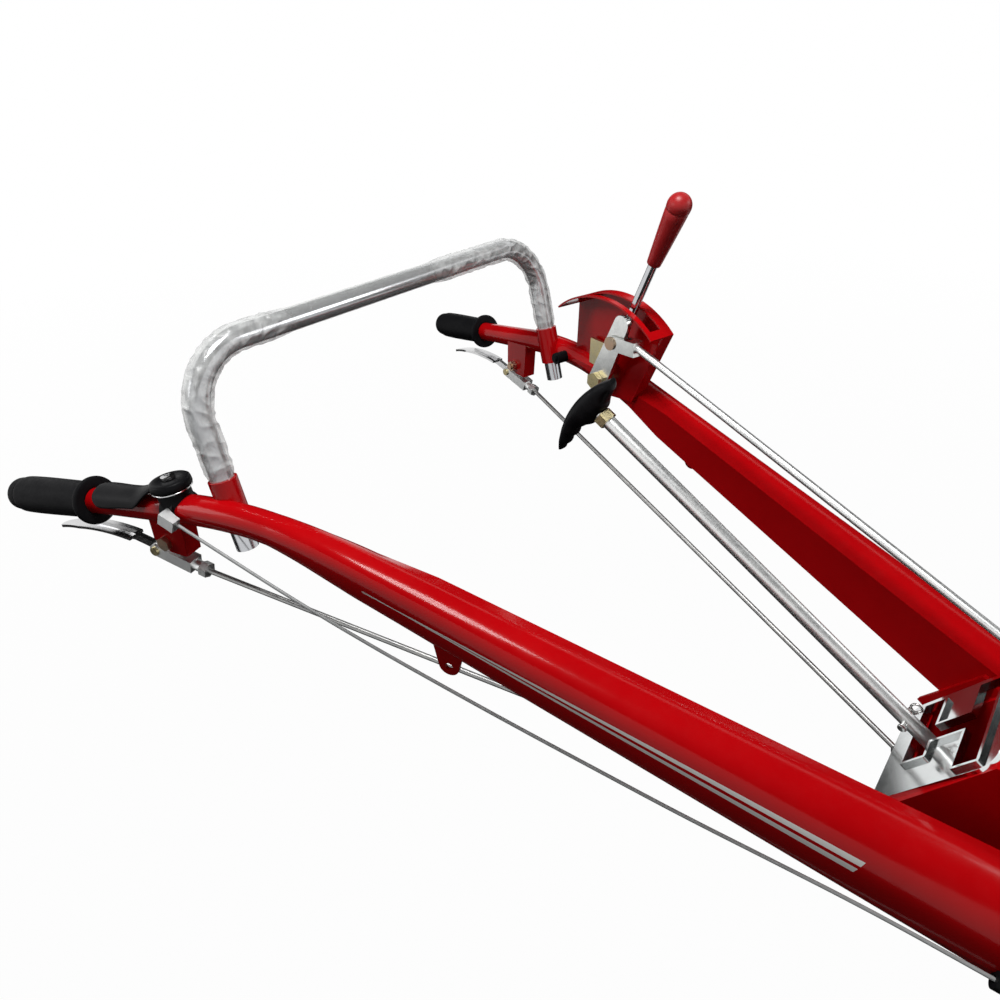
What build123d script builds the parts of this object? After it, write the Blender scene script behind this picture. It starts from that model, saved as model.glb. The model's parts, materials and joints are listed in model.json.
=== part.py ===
from build123d import *
import os
from math import acos, atan2, cos, degrees, hypot, radians, sin, tan

# Handlebar assembly of a walk-behind tractor: two tapered arms on a bolt-down base, with grips,
# a cross bar, the main clutch lever in its quadrant, two steering levers with their rods,
# a thumb throttle and the gear lever in its gate.
# Millimetres. +X is forward, +Y is the operator's left, +Z is up.
# The origin is the centre of the four bolts, on the underside of the base flange.
# Pieces on an arm are drawn in the arm's own frame: along it, outward from it, and up.

# Arms
GRIP_SPACING = 643.0        # between the rear ends of the two arms
GRIP_END_X = -964.0
GRIP_END_Z = 195.0
TOE_ANGLE = 14.6            # arm to the centre plane, seen from above
REAR_SLOPE = 10.5           # rise of the grip section towards the front
FRONT_SLOPE = 14.6          # fall of the long section towards the front
BEND_AT = 324.7             # corner of the two centre lines, along the arm
BEND_RADIUS = 450.0
ARM_LENGTH = 1000.0         # along the arm, seen from above
TUBE_RADIUS = 12.5          # under the grip
NECK_RADIUS = 14.0          # round section through the bend
SHOULDER_RUN = 54.0         # from the bend to the pressed box section
SHOULDER_ROUND, SHOULDER_WIDTH, SHOULDER_FLAT = 20.0, 35.5, 30.0
FRONT_ROUND, FRONT_WIDTH, FRONT_FLAT = 40.0, 67.0, 64.0
ARM_WALL = 3.5              # of the pressed box section, open at the front

# Grips and cross bar
GRIP_LENGTH = 118.0
GRIP_RADIUS = 18.5
GRIP_END_WALL = 4.0
GRIP_END_TAPER, GRIP_STEP = 4.0, 2.0
GRIP_STEP_FROM, GRIP_STEP_TO = 12.0, 14.0
GRIP_WAIST = 1.0            # thinner towards the flange
GRIP_FLANGE_RADIUS = 23.5
GRIP_FLANGE_LENGTH = 5.0
BAR_RADIUS = 10.0
BAR_WALL = 2.0
BAR_RISE, BAR_DROP = 131.8, 38.2    # above and below the arm's centre line
BAR_LEAN = 14.8             # legs lean to the rear
BAR_BEND_RADIUS = 60.0
SOCKET_AT = 275.5           # along the arm
SOCKET_SIDE = -13.0         # from the tube's centre line, inward
SOCKET_WALL = 2.6
SOCKET_ABOVE, SOCKET_BELOW = 28.0, 16.0
FIT_GAP = 0.2               # radial, round each bar or pin in its hole
WELD_GAP = 0.05             # between a welded piece and the round tube under it

# Steering levers with hangers, forks and rods; each drop is below the arm's centre line
STEER_SIDE = -4.0           # middle of the lever, from the tube's centre line
PIVOT_AT, PIVOT_DROP = 201.0, 37.0
PIN_AT, PIN_DROP = 180.0, 50.5
TIP_AT, TIP_DROP = 44.0, 37.2
BLADE_AT, BLADE_DROP = 95.0, 32.1       # middle of the arched blade
BLADE_FRONT_AT, BLADE_FRONT_DROP = 150.0, 39.8
BLADE_WIDTH = 17.0
BLADE_TIP_RADIUS, BLADE_TIP_LENGTH = 4.5, 36.0
BLADE_THICK = 3.0
WEB_THICK = 5.0
PIVOT_BOSS = 9.0
PIN_BOSS = 8.0
PIVOT_RADIUS = 4.0
PIN_RADIUS = 3.0
HANGER_REAR, HANGER_FRONT = 186.0, 226.0
HANGER_FOOT_REAR, HANGER_FOOT_FRONT = 204.0, 223.0
HANGER_FOOT_DROP = 10.5     # below the pivot
HANGER_WIDTH = 18.0
WEB_CLEARANCE = 1.0         # each side of the lever web
SWING_CLEARANCE = 4.0       # hanger round the lever boss
HEX_SHARE = 1.8             # corners of a bolt head to its shank
LEVER_BOLT_HEAD, LEVER_BOLT_NUT, LEVER_BOLT_TAIL = 5.0, 6.5, 9.0
FORK_LENGTH = 42.0          # ahead of the pin
FORK_HEIGHT = 13.0
FORK_SLOT = 24.0            # ahead of the pin
FORK_EAR = 4.2
EAR_CLEARANCE = 0.8
PIN_HEAD, PIN_HEAD_SHARE = 2.0, 1.5
COLLAR_RADIUS = 5.5
COLLAR_LENGTH = 16.0
COLLAR_HEX = 7.7
ROD_RADIUS = 2.6
ROD_SLOPE, ROD_YAW = 11.0, 5.6       # fall, and turn inward past the fork
ROD_EYE_PAST = 0.0          # middle of the eye, ahead of the gate's foot
ROD_EYE_RADIUS, ROD_EYE_HOLE, ROD_EYE_THICK = 7.0, 3.0, 5.0

# Main clutch lever on the left arm
CLUTCH_AT, CLUTCH_RISE = 388.0, 7.7
CLUTCH_LEAN = 21.8          # forward of upright, at rest
CLUTCH_FORWARD, CLUTCH_REARWARD = 13.0, 40.0
CLUTCH_PLATE_THICK = 6.0
CLUTCH_PLATE_SIDE = -31.0   # middle of the plate, from the tube's centre line
CLUTCH_PLATE_HALF, CLUTCH_PLATE_FOOT = 10.5, 13.5
CLUTCH_PLATE_LENGTH = 92.0
CLUTCH_BOLT_RADIUS = 6.0
CLUTCH_BOLT_SPACER = 10.0
CLUTCH_BOLT_HEAD = 7.0
CLUTCH_PIN_AT = 57.0        # from the pivot
CLUTCH_PIN_RADIUS = 5.0
STEM_RADIUS = 5.0
STEM_FROM = 74.0
STEM_SEAT = 0.5             # flat on the stem where it is welded to the plate
KNOB_FROM, KNOB_TO = 158.0, 237.0
KNOB_FOOT_RADIUS, KNOB_RADIUS = 7.8, 13.6
KNOB_BORE_DEPTH = 20.0
CLUTCH_FORK_SLOPE = -4.0
CLUTCH_FORK_LENGTH = 36.0
CLUTCH_FORK_HEIGHT = 16.0
CLUTCH_FORK_SLOT = 24.0
CLUTCH_FORK_EAR = 4.0
CLUTCH_ROD_RADIUS = 4.0
CLUTCH_ROD_SLOPE = 14.6
CLUTCH_EYE_PAST = 42.0      # middle of the eye, ahead of the gate's foot
CLUTCH_EYE_RADIUS, CLUTCH_EYE_HOLE, CLUTCH_EYE_THICK = 8.0, 4.0, 7.0

# Quadrant hood over the clutch lever
BAND_AHEAD, BAND_BELOW = 6.0, 18.0      # centre of the band, from the lever's pivot
BAND_RADIUS = 115.5
BAND_THICK = 2.0
BAND_INNER, BAND_OUTER = -38.0, -3.0
BAND_REAR, BAND_FRONT = -41.0, 39.0     # degrees forward of upright
SLOT_HALF = 8.0
SLOT_OVERRUN = 6.7          # degrees past the lever's travel
HOOD_FOOT_REAR, HOOD_FOOT_FRONT = 70.0, 43.0    # behind and ahead of the lever's pivot
FRONT_WALL_INNER = -19.0
GUSSET_TOP = 24.0           # down the front wall
BRACKET_THICK = 2.0
BRACKET_RADIUS = 24.0
STRAP_AT = 366.0            # plate on the arm beside the lever
STRAP_LENGTH, STRAP_HEIGHT, STRAP_THICK, STRAP_SIDE = 33.0, 26.0, 4.0, -10.0
SWITCH_AT, SWITCH_DROP = 306.0, 1.0
SWITCH_RADIUS, SWITCH_LENGTH = 7.0, 15.0
SWITCH_BUTTON = 3.0

# Base
FLANGE_LENGTH, FLANGE_WIDTH, FLANGE_THICK = 94.0, 190.0, 12.0
FLANGE_TAIL = 4.0           # behind the tower's foot
FLANGE_CORNER = 16.0
BOLT_SPACING_X, BOLT_SPACING_Y = 60.0, 150.0
BOLT_HOLE_RADIUS = 6.5
TOWER_REAR_HALF, TOWER_FRONT_HALF = 62.0, 40.0
TOWER_FOOT_X, TOWER_FRONT_X = -115.0, 1.0
TOWER_LEDGE = 2.0           # gate plate past the tower's sloping face
TOWER_CHAMFER = 22.0
TOWER_WALL = 4.0
WINDOW_MARGIN = 12.0        # flange opening inside the tower's foot
CHEEK_THICK = 5.0
CHEEK_KNEE_AT, CHEEK_FOOT_AT, CHEEK_FRONT_AT = 822.0, 956.0, 996.0
CHEEK_KNEE_Z, CHEEK_TOP_Z = 76.0, 137.0
CHEEK_LAP = 18.0            # above the arm's centre line at the front

# Gate on the sloping rear face of the tower
GATE_X, GATE_Z = -169.0, 96.4
GATE_SLOPE = 57.3
GATE_THICK = 3.5
GATE_LOW, GATE_HIGH = -10.0, 100.0
GATE_RIGHT, GATE_LEFT = -55.0, 65.0
GATE_CORNER = 16.0
GATE_LIP, GATE_LIP_WALL = 3.0, 2.5
SLOT_WIDTH = 20.0
UPPER_SLOT = 76.0           # middle of the slot, up the gate
LOWER_SLOT = 22.5
UPPER_RIGHT, UPPER_LEFT = -47.0, 54.0
LOWER_RIGHT, LOWER_LEFT = -20.0, 54.0

# Gear lever
GEAR_SIDE = 8.0
GEAR_RADIUS = 6.5
GEAR_SLOPE = 30.3
GEAR_AT_GATE = 24.5         # up the gate
GEAR_INSIDE = 150.0         # from the gate to the cross pin
GEAR_OUTSIDE = 376.0        # from the gate to the knob
GEAR_PIN_RADIUS = 5.0
GEAR_PIN_TAIL = 5.0         # past each wall of the tower
GEAR_BOSS_RADIUS, GEAR_BOSS_LENGTH = 11.0, 26.0
GEAR_NUT_RADIUS, GEAR_NUT_LENGTH = 9.5, 9.0
GEAR_KNOB_HALF = 12.0
KNOB_LOBE, KNOB_WING = 36.0, 65.0       # of the gear knob, above and below the lever
KNOB_BACK, KNOB_LIP, KNOB_HUB = 26.0, 12.0, 11.0
KNOB_ROUND = 16.0           # of its two sides, about a line up its middle

# Throttle on the right arm
THROTTLE_AT = 226.0
CLAMP_WALL, CLAMP_LENGTH = 3.0, 16.0
HOUSING_RADIUS, HOUSING_HEIGHT = 15.0, 5.0
CAP_RADIUS, CAP_HEIGHT = 18.5, 8.0
POST_RADIUS = 4.0
SCREW_RADIUS, SCREW_HEIGHT = 6.0, 2.4
CAP_GAP = 0.3
THUMB_LENGTH, THUMB_THICK = 95.0, 3.5
THUMB_ROOT, THUMB_ROOT_HALF, THUMB_ROOT_LENGTH = 25.0, 7.0, 8.0
THUMB_CLEARANCE = 3.5       # paddle over the tube
THUMB_TOP, THUMB_LOW = -12.0, 76.0      # degrees round the tube from its top, outward
STOP_LENGTH, STOP_HALF, STOP_BACK = 16.0, 6.0, 4.0
CABLE_RADIUS = 2.4
CLIP_RADIUS, CLIP_LENGTH = 6.5, 14.0
CABLE_ROUTE = (
    # along, outward, up
    (240, 19.5, 235),
    (297, 19, 212),
    (361, 19, 188),
    (430, 20, 167),
    (500, 22, 150),
    (568, 25, 136),
    (636, 28.5, 124),
    (702, 33, 114),
    (766, 38, 108),
    (826, 43.5, 103),
    (878, 48.5, 96),
    (922, 52, 88),
)

# Cable ears under the arms
EAR_AT, EAR_DROP = 502.0, 39.0      # hole below the arm's centre line
EAR_SIDE = 16.0
EAR_RADIUS, EAR_HOLE_RADIUS, EAR_THICK = 9.0, 3.5, 3.0
EAR_FOOT = 34.0

FAR = 400.0                 # reach of a cutting block


BEND_TURN = REAR_SLOPE + FRONT_SLOPE
BEND_REACH = BEND_RADIUS * tan(radians(BEND_TURN / 2))
REAR_RUN = BEND_AT / cos(radians(REAR_SLOPE)) - BEND_REACH
BEND_START_AT = REAR_RUN * cos(radians(REAR_SLOPE))
BEND_END_AT = BEND_AT + BEND_REACH * cos(radians(FRONT_SLOPE))
SHOULDER_AT = BEND_END_AT + SHOULDER_RUN
ARM_INNER = -NECK_RADIUS    # flat inner wall of the arm


def tube_z(at):
    """Height of an arm's centre line: straight, round the bend, straight."""
    if at <= BEND_START_AT:
        return GRIP_END_Z + at * tan(radians(REAR_SLOPE))
    if at < BEND_END_AT:
        centre_at = BEND_START_AT + BEND_RADIUS * sin(radians(REAR_SLOPE))
        centre_z = tube_z(BEND_START_AT) - BEND_RADIUS * cos(radians(REAR_SLOPE))
        return centre_z + (BEND_RADIUS**2 - (at - centre_at) ** 2) ** 0.5
    return GRIP_END_Z + BEND_AT * tan(radians(REAR_SLOPE)) - (at - BEND_AT) * tan(radians(FRONT_SLOPE))


PIVOT_Z = tube_z(PIVOT_AT) - PIVOT_DROP
PIN_Z = tube_z(PIN_AT) - PIN_DROP
TIP_Z = tube_z(TIP_AT) - TIP_DROP
BLADE_Z = tube_z(BLADE_AT) - BLADE_DROP
BLADE_FRONT_Z = tube_z(BLADE_FRONT_AT) - BLADE_FRONT_DROP
CLUTCH_Z = tube_z(CLUTCH_AT) + CLUTCH_RISE
EAR_Z = tube_z(EAR_AT) - EAR_DROP
STEM_SIDE = CLUTCH_PLATE_SIDE + CLUTCH_PLATE_THICK / 2 + STEM_RADIUS - STEM_SEAT


def on_left(shape):
    """From an arm's own frame to the left arm."""
    return Pos(GRIP_END_X, GRIP_SPACING / 2, 0) * Rot(0, 0, -TOE_ANGLE) * shape


def on_right(shape):
    return mirror(on_left(shape), about=Plane.XZ)


def raised(at, z, slope, shape):
    """Shape drawn along +X, moved to a place in the side view and raised by a slope."""
    return Pos(at, 0, z) * Rot(0, -slope, 0) * shape


def bar(radius, start, end):
    """Round bar on the X axis."""
    return Pos((start + end) / 2, 0, 0) * Rot(0, 90, 0) * Cylinder(radius, end - start)


def cross_pin(at, z, radius, side_from, side_to):
    """Round bar across an arm."""
    return Pos(at, (side_from + side_to) / 2, z) * Rot(90, 0, 0) * Cylinder(radius, side_to - side_from)


def side_plate(outline, side_from, side_to):
    """Plate with its outline in the side view, X along and Y up, between two side positions."""
    face = Plane((0, side_to, 0), x_dir=(1, 0, 0), z_dir=(0, -1, 0)) * outline
    return extrude(face, amount=side_to - side_from)


def block(x_from, x_to, y_from, y_to, z_from, z_to):
    centre = Pos((x_from + x_to) / 2, (y_from + y_to) / 2, (z_from + z_to) / 2)
    return centre * Box(x_to - x_from, y_to - y_from, z_to - z_from)


def hexagon_bar(across_corners, start, end):
    """Six-sided bar on the X axis."""
    face = Plane((start, 0, 0), z_dir=(1, 0, 0)) * RegularPolygon(across_corners, 6)
    return extrude(face, amount=end - start)


def one_solid(shape):
    return max(shape.solids(), key=lambda solid: solid.volume)


def box_section(at, round_radius, width, flat, inset=0.0):
    """Section of the pressed arm: flat inner wall, round outside, and tangents between them."""
    inner = ARM_INNER + inset
    centre = ARM_INNER + width - round_radius
    round_radius -= inset
    flat -= 2 * inset
    reach = hypot(centre - inner, flat / 2)
    touch = atan2(flat / 2, inner - centre) - acos(round_radius / reach)
    top = (centre + round_radius * cos(touch), round_radius * sin(touch))
    low = (top[0], -top[1])
    wall_top = (inner, flat / 2)
    wall_low = (inner, -flat / 2)
    edges = [
        Line(wall_low, wall_top),
        Line(wall_top, top),
        ThreePointArc(top, (centre + round_radius, 0), low),
        Line(low, wall_low),
    ]
    forward = (cos(radians(FRONT_SLOPE)), 0, -sin(radians(FRONT_SLOPE)))
    return Plane((at, 0, tube_z(at)), x_dir=(0, 1, 0), z_dir=forward) * make_face(edges)


def arm_tube():
    """Round rear part: straight under the grip, widening to the bend, then the bend."""
    straight_end = GRIP_LENGTH + GRIP_FLANGE_LENGTH
    straight = bar(TUBE_RADIUS, GRIP_END_WALL, straight_end)
    taper = Rot(0, 90, 0) * Cone(TUBE_RADIUS, NECK_RADIUS, REAR_RUN - straight_end)
    taper = Pos((straight_end + REAR_RUN) / 2, 0, 0) * taper
    start = Plane((REAR_RUN, 0, 0), z_dir=(1, 0, 0)) * Circle(NECK_RADIUS)
    bend = revolve(start, Axis((REAR_RUN, 0, -BEND_RADIUS), (0, 1, 0)), BEND_TURN)
    return raised(0, GRIP_END_Z, REAR_SLOPE, straight + taper + bend)


def arm_box():
    """Pressed front part, from round at the bend to deep at the base."""
    neck = box_section(BEND_END_AT, NECK_RADIUS, 2 * NECK_RADIUS, NECK_RADIUS)
    shoulder = box_section(SHOULDER_AT, SHOULDER_ROUND, SHOULDER_WIDTH, SHOULDER_FLAT)
    front = box_section(ARM_LENGTH, FRONT_ROUND, FRONT_WIDTH, FRONT_FLAT)
    return loft([neck, shoulder], ruled=True) + loft([shoulder, front], ruled=True)


def arm_hollow():
    """Inside of the pressed part, up to its open front end."""
    shoulder = box_section(SHOULDER_AT, SHOULDER_ROUND, SHOULDER_WIDTH, SHOULDER_FLAT, ARM_WALL)
    front = box_section(ARM_LENGTH, FRONT_ROUND, FRONT_WIDTH, FRONT_FLAT, ARM_WALL)
    return loft([shoulder, front], ruled=True)


def socket_place():
    """Frame of a cross bar leg on the left side, at the tube's centre line, with Z up the leg."""
    place = on_left(Pos(SOCKET_AT, SOCKET_SIDE, tube_z(SOCKET_AT)) * Sphere(1)).center()
    return Location((place.X, place.Y, place.Z), (0, -BAR_LEAN, 0))


def socket_sleeve(radius):
    """Round bar over a socket's length."""
    return Pos(0, 0, (SOCKET_ABOVE - SOCKET_BELOW) / 2) * Cylinder(radius, SOCKET_ABOVE + SOCKET_BELOW)


def arm():
    """Left arm in the left arm's frame of the whole part, notched for the cross bar's socket."""
    notch = socket_place() * socket_sleeve(BAR_RADIUS + FIT_GAP + SOCKET_WALL + WELD_GAP)
    return one_solid(on_left(arm_tube() + arm_box() - arm_hollow()) - notch)


def grip():
    """Rubber grip: closed rear end, finger barrel, and a flange at the front."""
    bore = TUBE_RADIUS + WELD_GAP
    flange_from = GRIP_LENGTH - GRIP_FLANGE_LENGTH
    outline = Polyline(
        (0, 0),
        (0, GRIP_RADIUS - GRIP_END_TAPER),
        (GRIP_END_TAPER, GRIP_RADIUS - GRIP_STEP),
        (GRIP_STEP_FROM, GRIP_RADIUS - GRIP_STEP),
        (GRIP_STEP_TO, GRIP_RADIUS),
        (flange_from, GRIP_RADIUS - GRIP_WAIST),
        (flange_from, GRIP_FLANGE_RADIUS),
        (GRIP_LENGTH, GRIP_FLANGE_RADIUS),
        (GRIP_LENGTH, bore),
        (GRIP_END_WALL, bore),
        (GRIP_END_WALL, 0),
        close=True,
    )
    body = revolve(Plane.XY * make_face(outline), Axis.X)
    return raised(0, GRIP_END_Z, REAR_SLOPE, body)


def cross_bar():
    """Bent tube across both arms, with leaning legs."""
    foot = socket_place().position
    lean = tan(radians(BAR_LEAN))

    def leg(side, rise):
        return (foot.X - rise * lean, side * foot.Y, foot.Z + rise)

    points = [leg(1, -BAR_DROP), leg(1, BAR_RISE), leg(-1, BAR_RISE), leg(-1, -BAR_DROP)]
    path = FilletPolyline(*points, radius=BAR_BEND_RADIUS)
    section = Plane(path @ 0, z_dir=path % 0)
    outside = sweep(section * Circle(BAR_RADIUS), path)
    inside = sweep(section * Circle(BAR_RADIUS - BAR_WALL), path)
    return one_solid(outside - inside)


def socket():
    """Sleeve that holds a leg of the cross bar on the left arm."""
    bore = BAR_RADIUS + FIT_GAP
    return socket_place() * (socket_sleeve(bore + SOCKET_WALL) - socket_sleeve(bore))


def beside(shape):
    """Piece of a steering lever, set inward from the tube's centre line."""
    return Pos(0, STEER_SIDE, 0) * shape


def hanger():
    """Bracket under the arm with a slot for the steering lever."""
    foot_z = PIVOT_Z - HANGER_FOOT_DROP
    outline = Polyline(
        (HANGER_REAR, PIVOT_Z),
        (HANGER_REAR, tube_z(HANGER_REAR)),
        (HANGER_FRONT, tube_z(HANGER_FRONT)),
        (HANGER_FOOT_FRONT, foot_z),
        (HANGER_FOOT_REAR, foot_z),
        close=True,
    )
    body = side_plate(make_face(outline), -HANGER_WIDTH / 2, HANGER_WIDTH / 2)
    room = PIVOT_BOSS + SWING_CLEARANCE
    half = WEB_THICK / 2 + WEB_CLEARANCE
    slot = block(PIVOT_AT - FAR, PIVOT_AT + room, -half, half, PIVOT_Z - FAR, PIVOT_Z + room)
    hole = cross_pin(PIVOT_AT, PIVOT_Z, PIVOT_RADIUS, -HANGER_WIDTH, HANGER_WIDTH)
    return one_solid(beside(body - slot - hole) - arm_tube())


def lever_bolt():
    """Pivot bolt through the hanger, head outside and nut inside."""
    half = HANGER_WIDTH / 2
    corners = HEX_SHARE * PIVOT_RADIUS
    shank = cross_pin(PIVOT_AT, PIVOT_Z, PIVOT_RADIUS, -half - LEVER_BOLT_TAIL, half)
    head = hexagon_bar(corners, half, half + LEVER_BOLT_HEAD)
    nut = hexagon_bar(corners, -half - LEVER_BOLT_NUT, -half)
    return beside(shank + Pos(PIVOT_AT, 0, PIVOT_Z) * Rot(0, 0, 90) * (head + nut))


def steer_lever():
    """Web with the two holes, and the arched blade under the grip, narrowing to a round tip."""
    link = make_hull(
        [
            *(Pos(PIVOT_AT, PIVOT_Z) * Circle(PIVOT_BOSS)).edges(),
            *(Pos(PIN_AT, PIN_Z) * Circle(PIN_BOSS)).edges(),
        ]
    )
    middle, front = (BLADE_AT, BLADE_Z), (BLADE_FRONT_AT, BLADE_FRONT_Z)
    strip = trace(ThreePointArc((TIP_AT, TIP_Z), middle, front), BLADE_THICK)
    tongue = trace(Polyline(middle, front, (PIN_AT, PIN_Z)), PIN_BOSS)
    web = side_plate(link + tongue, -WEB_THICK / 2, WEB_THICK / 2)
    tip = Pos(TIP_AT + BLADE_TIP_RADIUS, 0) * Circle(BLADE_TIP_RADIUS)
    broad_from = TIP_AT + BLADE_TIP_LENGTH
    broad = Pos((broad_from + BLADE_FRONT_AT) / 2, 0) * Rectangle(BLADE_FRONT_AT - broad_from, BLADE_WIDTH)
    plan = make_hull([*tip.edges(), *broad.edges()])
    blade = side_plate(strip, -BLADE_WIDTH, BLADE_WIDTH) & extrude(plan, amount=FAR)
    holes = cross_pin(PIVOT_AT, PIVOT_Z, PIVOT_RADIUS + FIT_GAP, -FAR, FAR)
    holes += cross_pin(PIN_AT, PIN_Z, PIN_RADIUS + FIT_GAP, -FAR, FAR)
    return one_solid(beside(web + blade - holes))


def fork(length, slot_length, height, ear, half_gap, pin_radius):
    """Fork with its pin hole at the origin, pointing along +X."""
    half = half_gap + ear
    body = block(0, length, -half, half, -height / 2, height / 2)
    body += cross_pin(0, 0, height / 2, -half, half)
    slot = block(-FAR, slot_length, -half_gap, half_gap, -FAR, FAR)
    return body - slot - cross_pin(0, 0, pin_radius + WELD_GAP, -FAR, FAR)


def headed_pin(radius, half_length):
    """Pin across the origin with a flat head at each end."""
    end = half_length + PIN_HEAD
    pin = cross_pin(0, 0, radius, -end, end)
    for ends in ((-end, -half_length), (half_length, end)):
        pin += cross_pin(0, 0, PIN_HEAD_SHARE * radius, *ends)
    return pin


def eye_rod(radius, length, eye_radius, hole_radius, eye_thick):
    """Rod along +X from the origin, flattened to an eye whose hole runs across it."""
    body = bar(radius, -COLLAR_LENGTH, length)
    body += cross_pin(length, 0, eye_radius, -eye_thick / 2, eye_thick / 2)
    return body - cross_pin(length, 0, hole_radius, -FAR, FAR)


def run_to(start, slope, yaw, past):
    """Length of a rod on the left arm from its start to a place ahead of the gate's foot."""
    start_x = on_left(Pos(*start) * Sphere(1)).center().X
    forward = cos(radians(slope)) * cos(radians(TOE_ANGLE + yaw))
    return (GATE_X + past - start_x) / forward


ROD_FORK_GAP = WEB_THICK / 2 + EAR_CLEARANCE


def fork_side(shape):
    """Shape drawn along +X from a steering fork's pin, set along the fork."""
    return beside(raised(PIN_AT, PIN_Z, -ROD_SLOPE, shape))


def rod_fork():
    """Fork on the steering lever, with the threaded collar of its rod."""
    end = FORK_LENGTH + COLLAR_LENGTH
    body = fork(FORK_LENGTH, FORK_SLOT, FORK_HEIGHT, FORK_EAR, ROD_FORK_GAP, PIN_RADIUS)
    body += bar(COLLAR_RADIUS, FORK_LENGTH, end)
    body += hexagon_bar(COLLAR_HEX, end - COLLAR_LENGTH / 2, end)
    return fork_side(body)


def rod_pin():
    return fork_side(headed_pin(PIN_RADIUS, ROD_FORK_GAP + FORK_EAR))


def steer_rod():
    """Rod from the fork's collar, inboard of the arm, to an eye under the gate's foot."""
    end = FORK_LENGTH + COLLAR_LENGTH
    start = (
        PIN_AT + end * cos(radians(ROD_SLOPE)),
        STEER_SIDE,
        PIN_Z - end * sin(radians(ROD_SLOPE)),
    )
    length = run_to(start, ROD_SLOPE, ROD_YAW, ROD_EYE_PAST)
    rod = eye_rod(ROD_RADIUS, length, ROD_EYE_RADIUS, ROD_EYE_HOLE, ROD_EYE_THICK)
    behind = fork_side(block(-FAR, end, -FAR, FAR, -FAR, FAR))
    return Pos(*start) * Rot(0, 0, -ROD_YAW) * Rot(0, ROD_SLOPE, 0) * rod - behind


def cable_ear():
    """Welded ear with a hole, under the arm."""
    foot = Pos(EAR_AT, tube_z(EAR_AT)) * Rectangle(EAR_FOOT, EAR_THICK)
    ring = Pos(EAR_AT, EAR_Z) * Circle(EAR_RADIUS)
    outline = make_hull([*foot.edges(), *ring.edges()])
    body = side_plate(outline, EAR_SIDE - EAR_THICK / 2, EAR_SIDE + EAR_THICK / 2)
    body -= cross_pin(EAR_AT, EAR_Z, EAR_HOLE_RADIUS, -FAR, FAR)
    return min((body - arm_box()).solids(), key=lambda solid: solid.center().Z)


def clutch_side(shape):
    """Shape drawn along +X from the clutch lever's pivot, set at the lever's rest angle."""
    return raised(CLUTCH_AT, CLUTCH_Z, 90 - CLUTCH_LEAN, shape)


def clutch_plate():
    """Flat lower half of the clutch lever, with holes for its bolt and the fork's pin."""
    tip = CLUTCH_PLATE_LENGTH - CLUTCH_PLATE_HALF
    foot = Circle(CLUTCH_PLATE_FOOT)
    head = Pos(tip, 0) * Circle(CLUTCH_PLATE_HALF)
    half = CLUTCH_PLATE_THICK / 2
    body = side_plate(
        make_hull([*foot.edges(), *head.edges()]), CLUTCH_PLATE_SIDE - half, CLUTCH_PLATE_SIDE + half
    )
    body -= cross_pin(0, 0, CLUTCH_BOLT_RADIUS + FIT_GAP, -FAR, FAR)
    body -= cross_pin(CLUTCH_PIN_AT, 0, CLUTCH_PIN_RADIUS + FIT_GAP, -FAR, FAR)
    return clutch_side(body)


def clutch_stem():
    """Round upper half, with a flat where it is welded to the plate."""
    body = Pos(0, STEM_SIDE, 0) * bar(STEM_RADIUS, STEM_FROM, KNOB_FROM + KNOB_BORE_DEPTH)
    seat = CLUTCH_PLATE_SIDE + CLUTCH_PLATE_THICK / 2
    return clutch_side(body - block(0, FAR, -FAR, seat, -FAR, FAR))


def clutch_knob():
    """Tapered hand knob with a ball end."""
    bore = STEM_RADIUS + WELD_GAP
    ball = KNOB_TO - KNOB_RADIUS
    depth = KNOB_FROM + KNOB_BORE_DEPTH
    half_turn = KNOB_RADIUS * cos(radians(45))
    edges = [
        Line((KNOB_FROM, bore), (KNOB_FROM, KNOB_FOOT_RADIUS)),
        Line((KNOB_FROM, KNOB_FOOT_RADIUS), (ball, KNOB_RADIUS)),
        ThreePointArc((ball, KNOB_RADIUS), (ball + half_turn, half_turn), (KNOB_TO, 0)),
        Line((KNOB_TO, 0), (depth, 0)),
        Line((depth, 0), (depth, bore)),
        Line((depth, bore), (KNOB_FROM, bore)),
    ]
    return clutch_side(Pos(0, STEM_SIDE, 0) * revolve(make_face(edges), Axis.X))


CLUTCH_FORK_GAP = CLUTCH_PLATE_THICK / 2 + EAR_CLEARANCE


CLUTCH_FORK_AT = CLUTCH_AT + CLUTCH_PIN_AT * sin(radians(CLUTCH_LEAN))
CLUTCH_FORK_Z = CLUTCH_Z + CLUTCH_PIN_AT * cos(radians(CLUTCH_LEAN))


def clutch_link_side(shape):
    """Shape drawn along +X from the clutch fork's pin, set along the fork."""
    return Pos(0, CLUTCH_PLATE_SIDE, 0) * raised(CLUTCH_FORK_AT, CLUTCH_FORK_Z, -CLUTCH_FORK_SLOPE, shape)


def clutch_fork():
    body = fork(
        CLUTCH_FORK_LENGTH, CLUTCH_FORK_SLOT, CLUTCH_FORK_HEIGHT,
        CLUTCH_FORK_EAR, CLUTCH_FORK_GAP, CLUTCH_PIN_RADIUS,
    )
    return clutch_link_side(body)


def clutch_pin():
    return clutch_link_side(headed_pin(CLUTCH_PIN_RADIUS, CLUTCH_FORK_GAP + CLUTCH_FORK_EAR))


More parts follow.
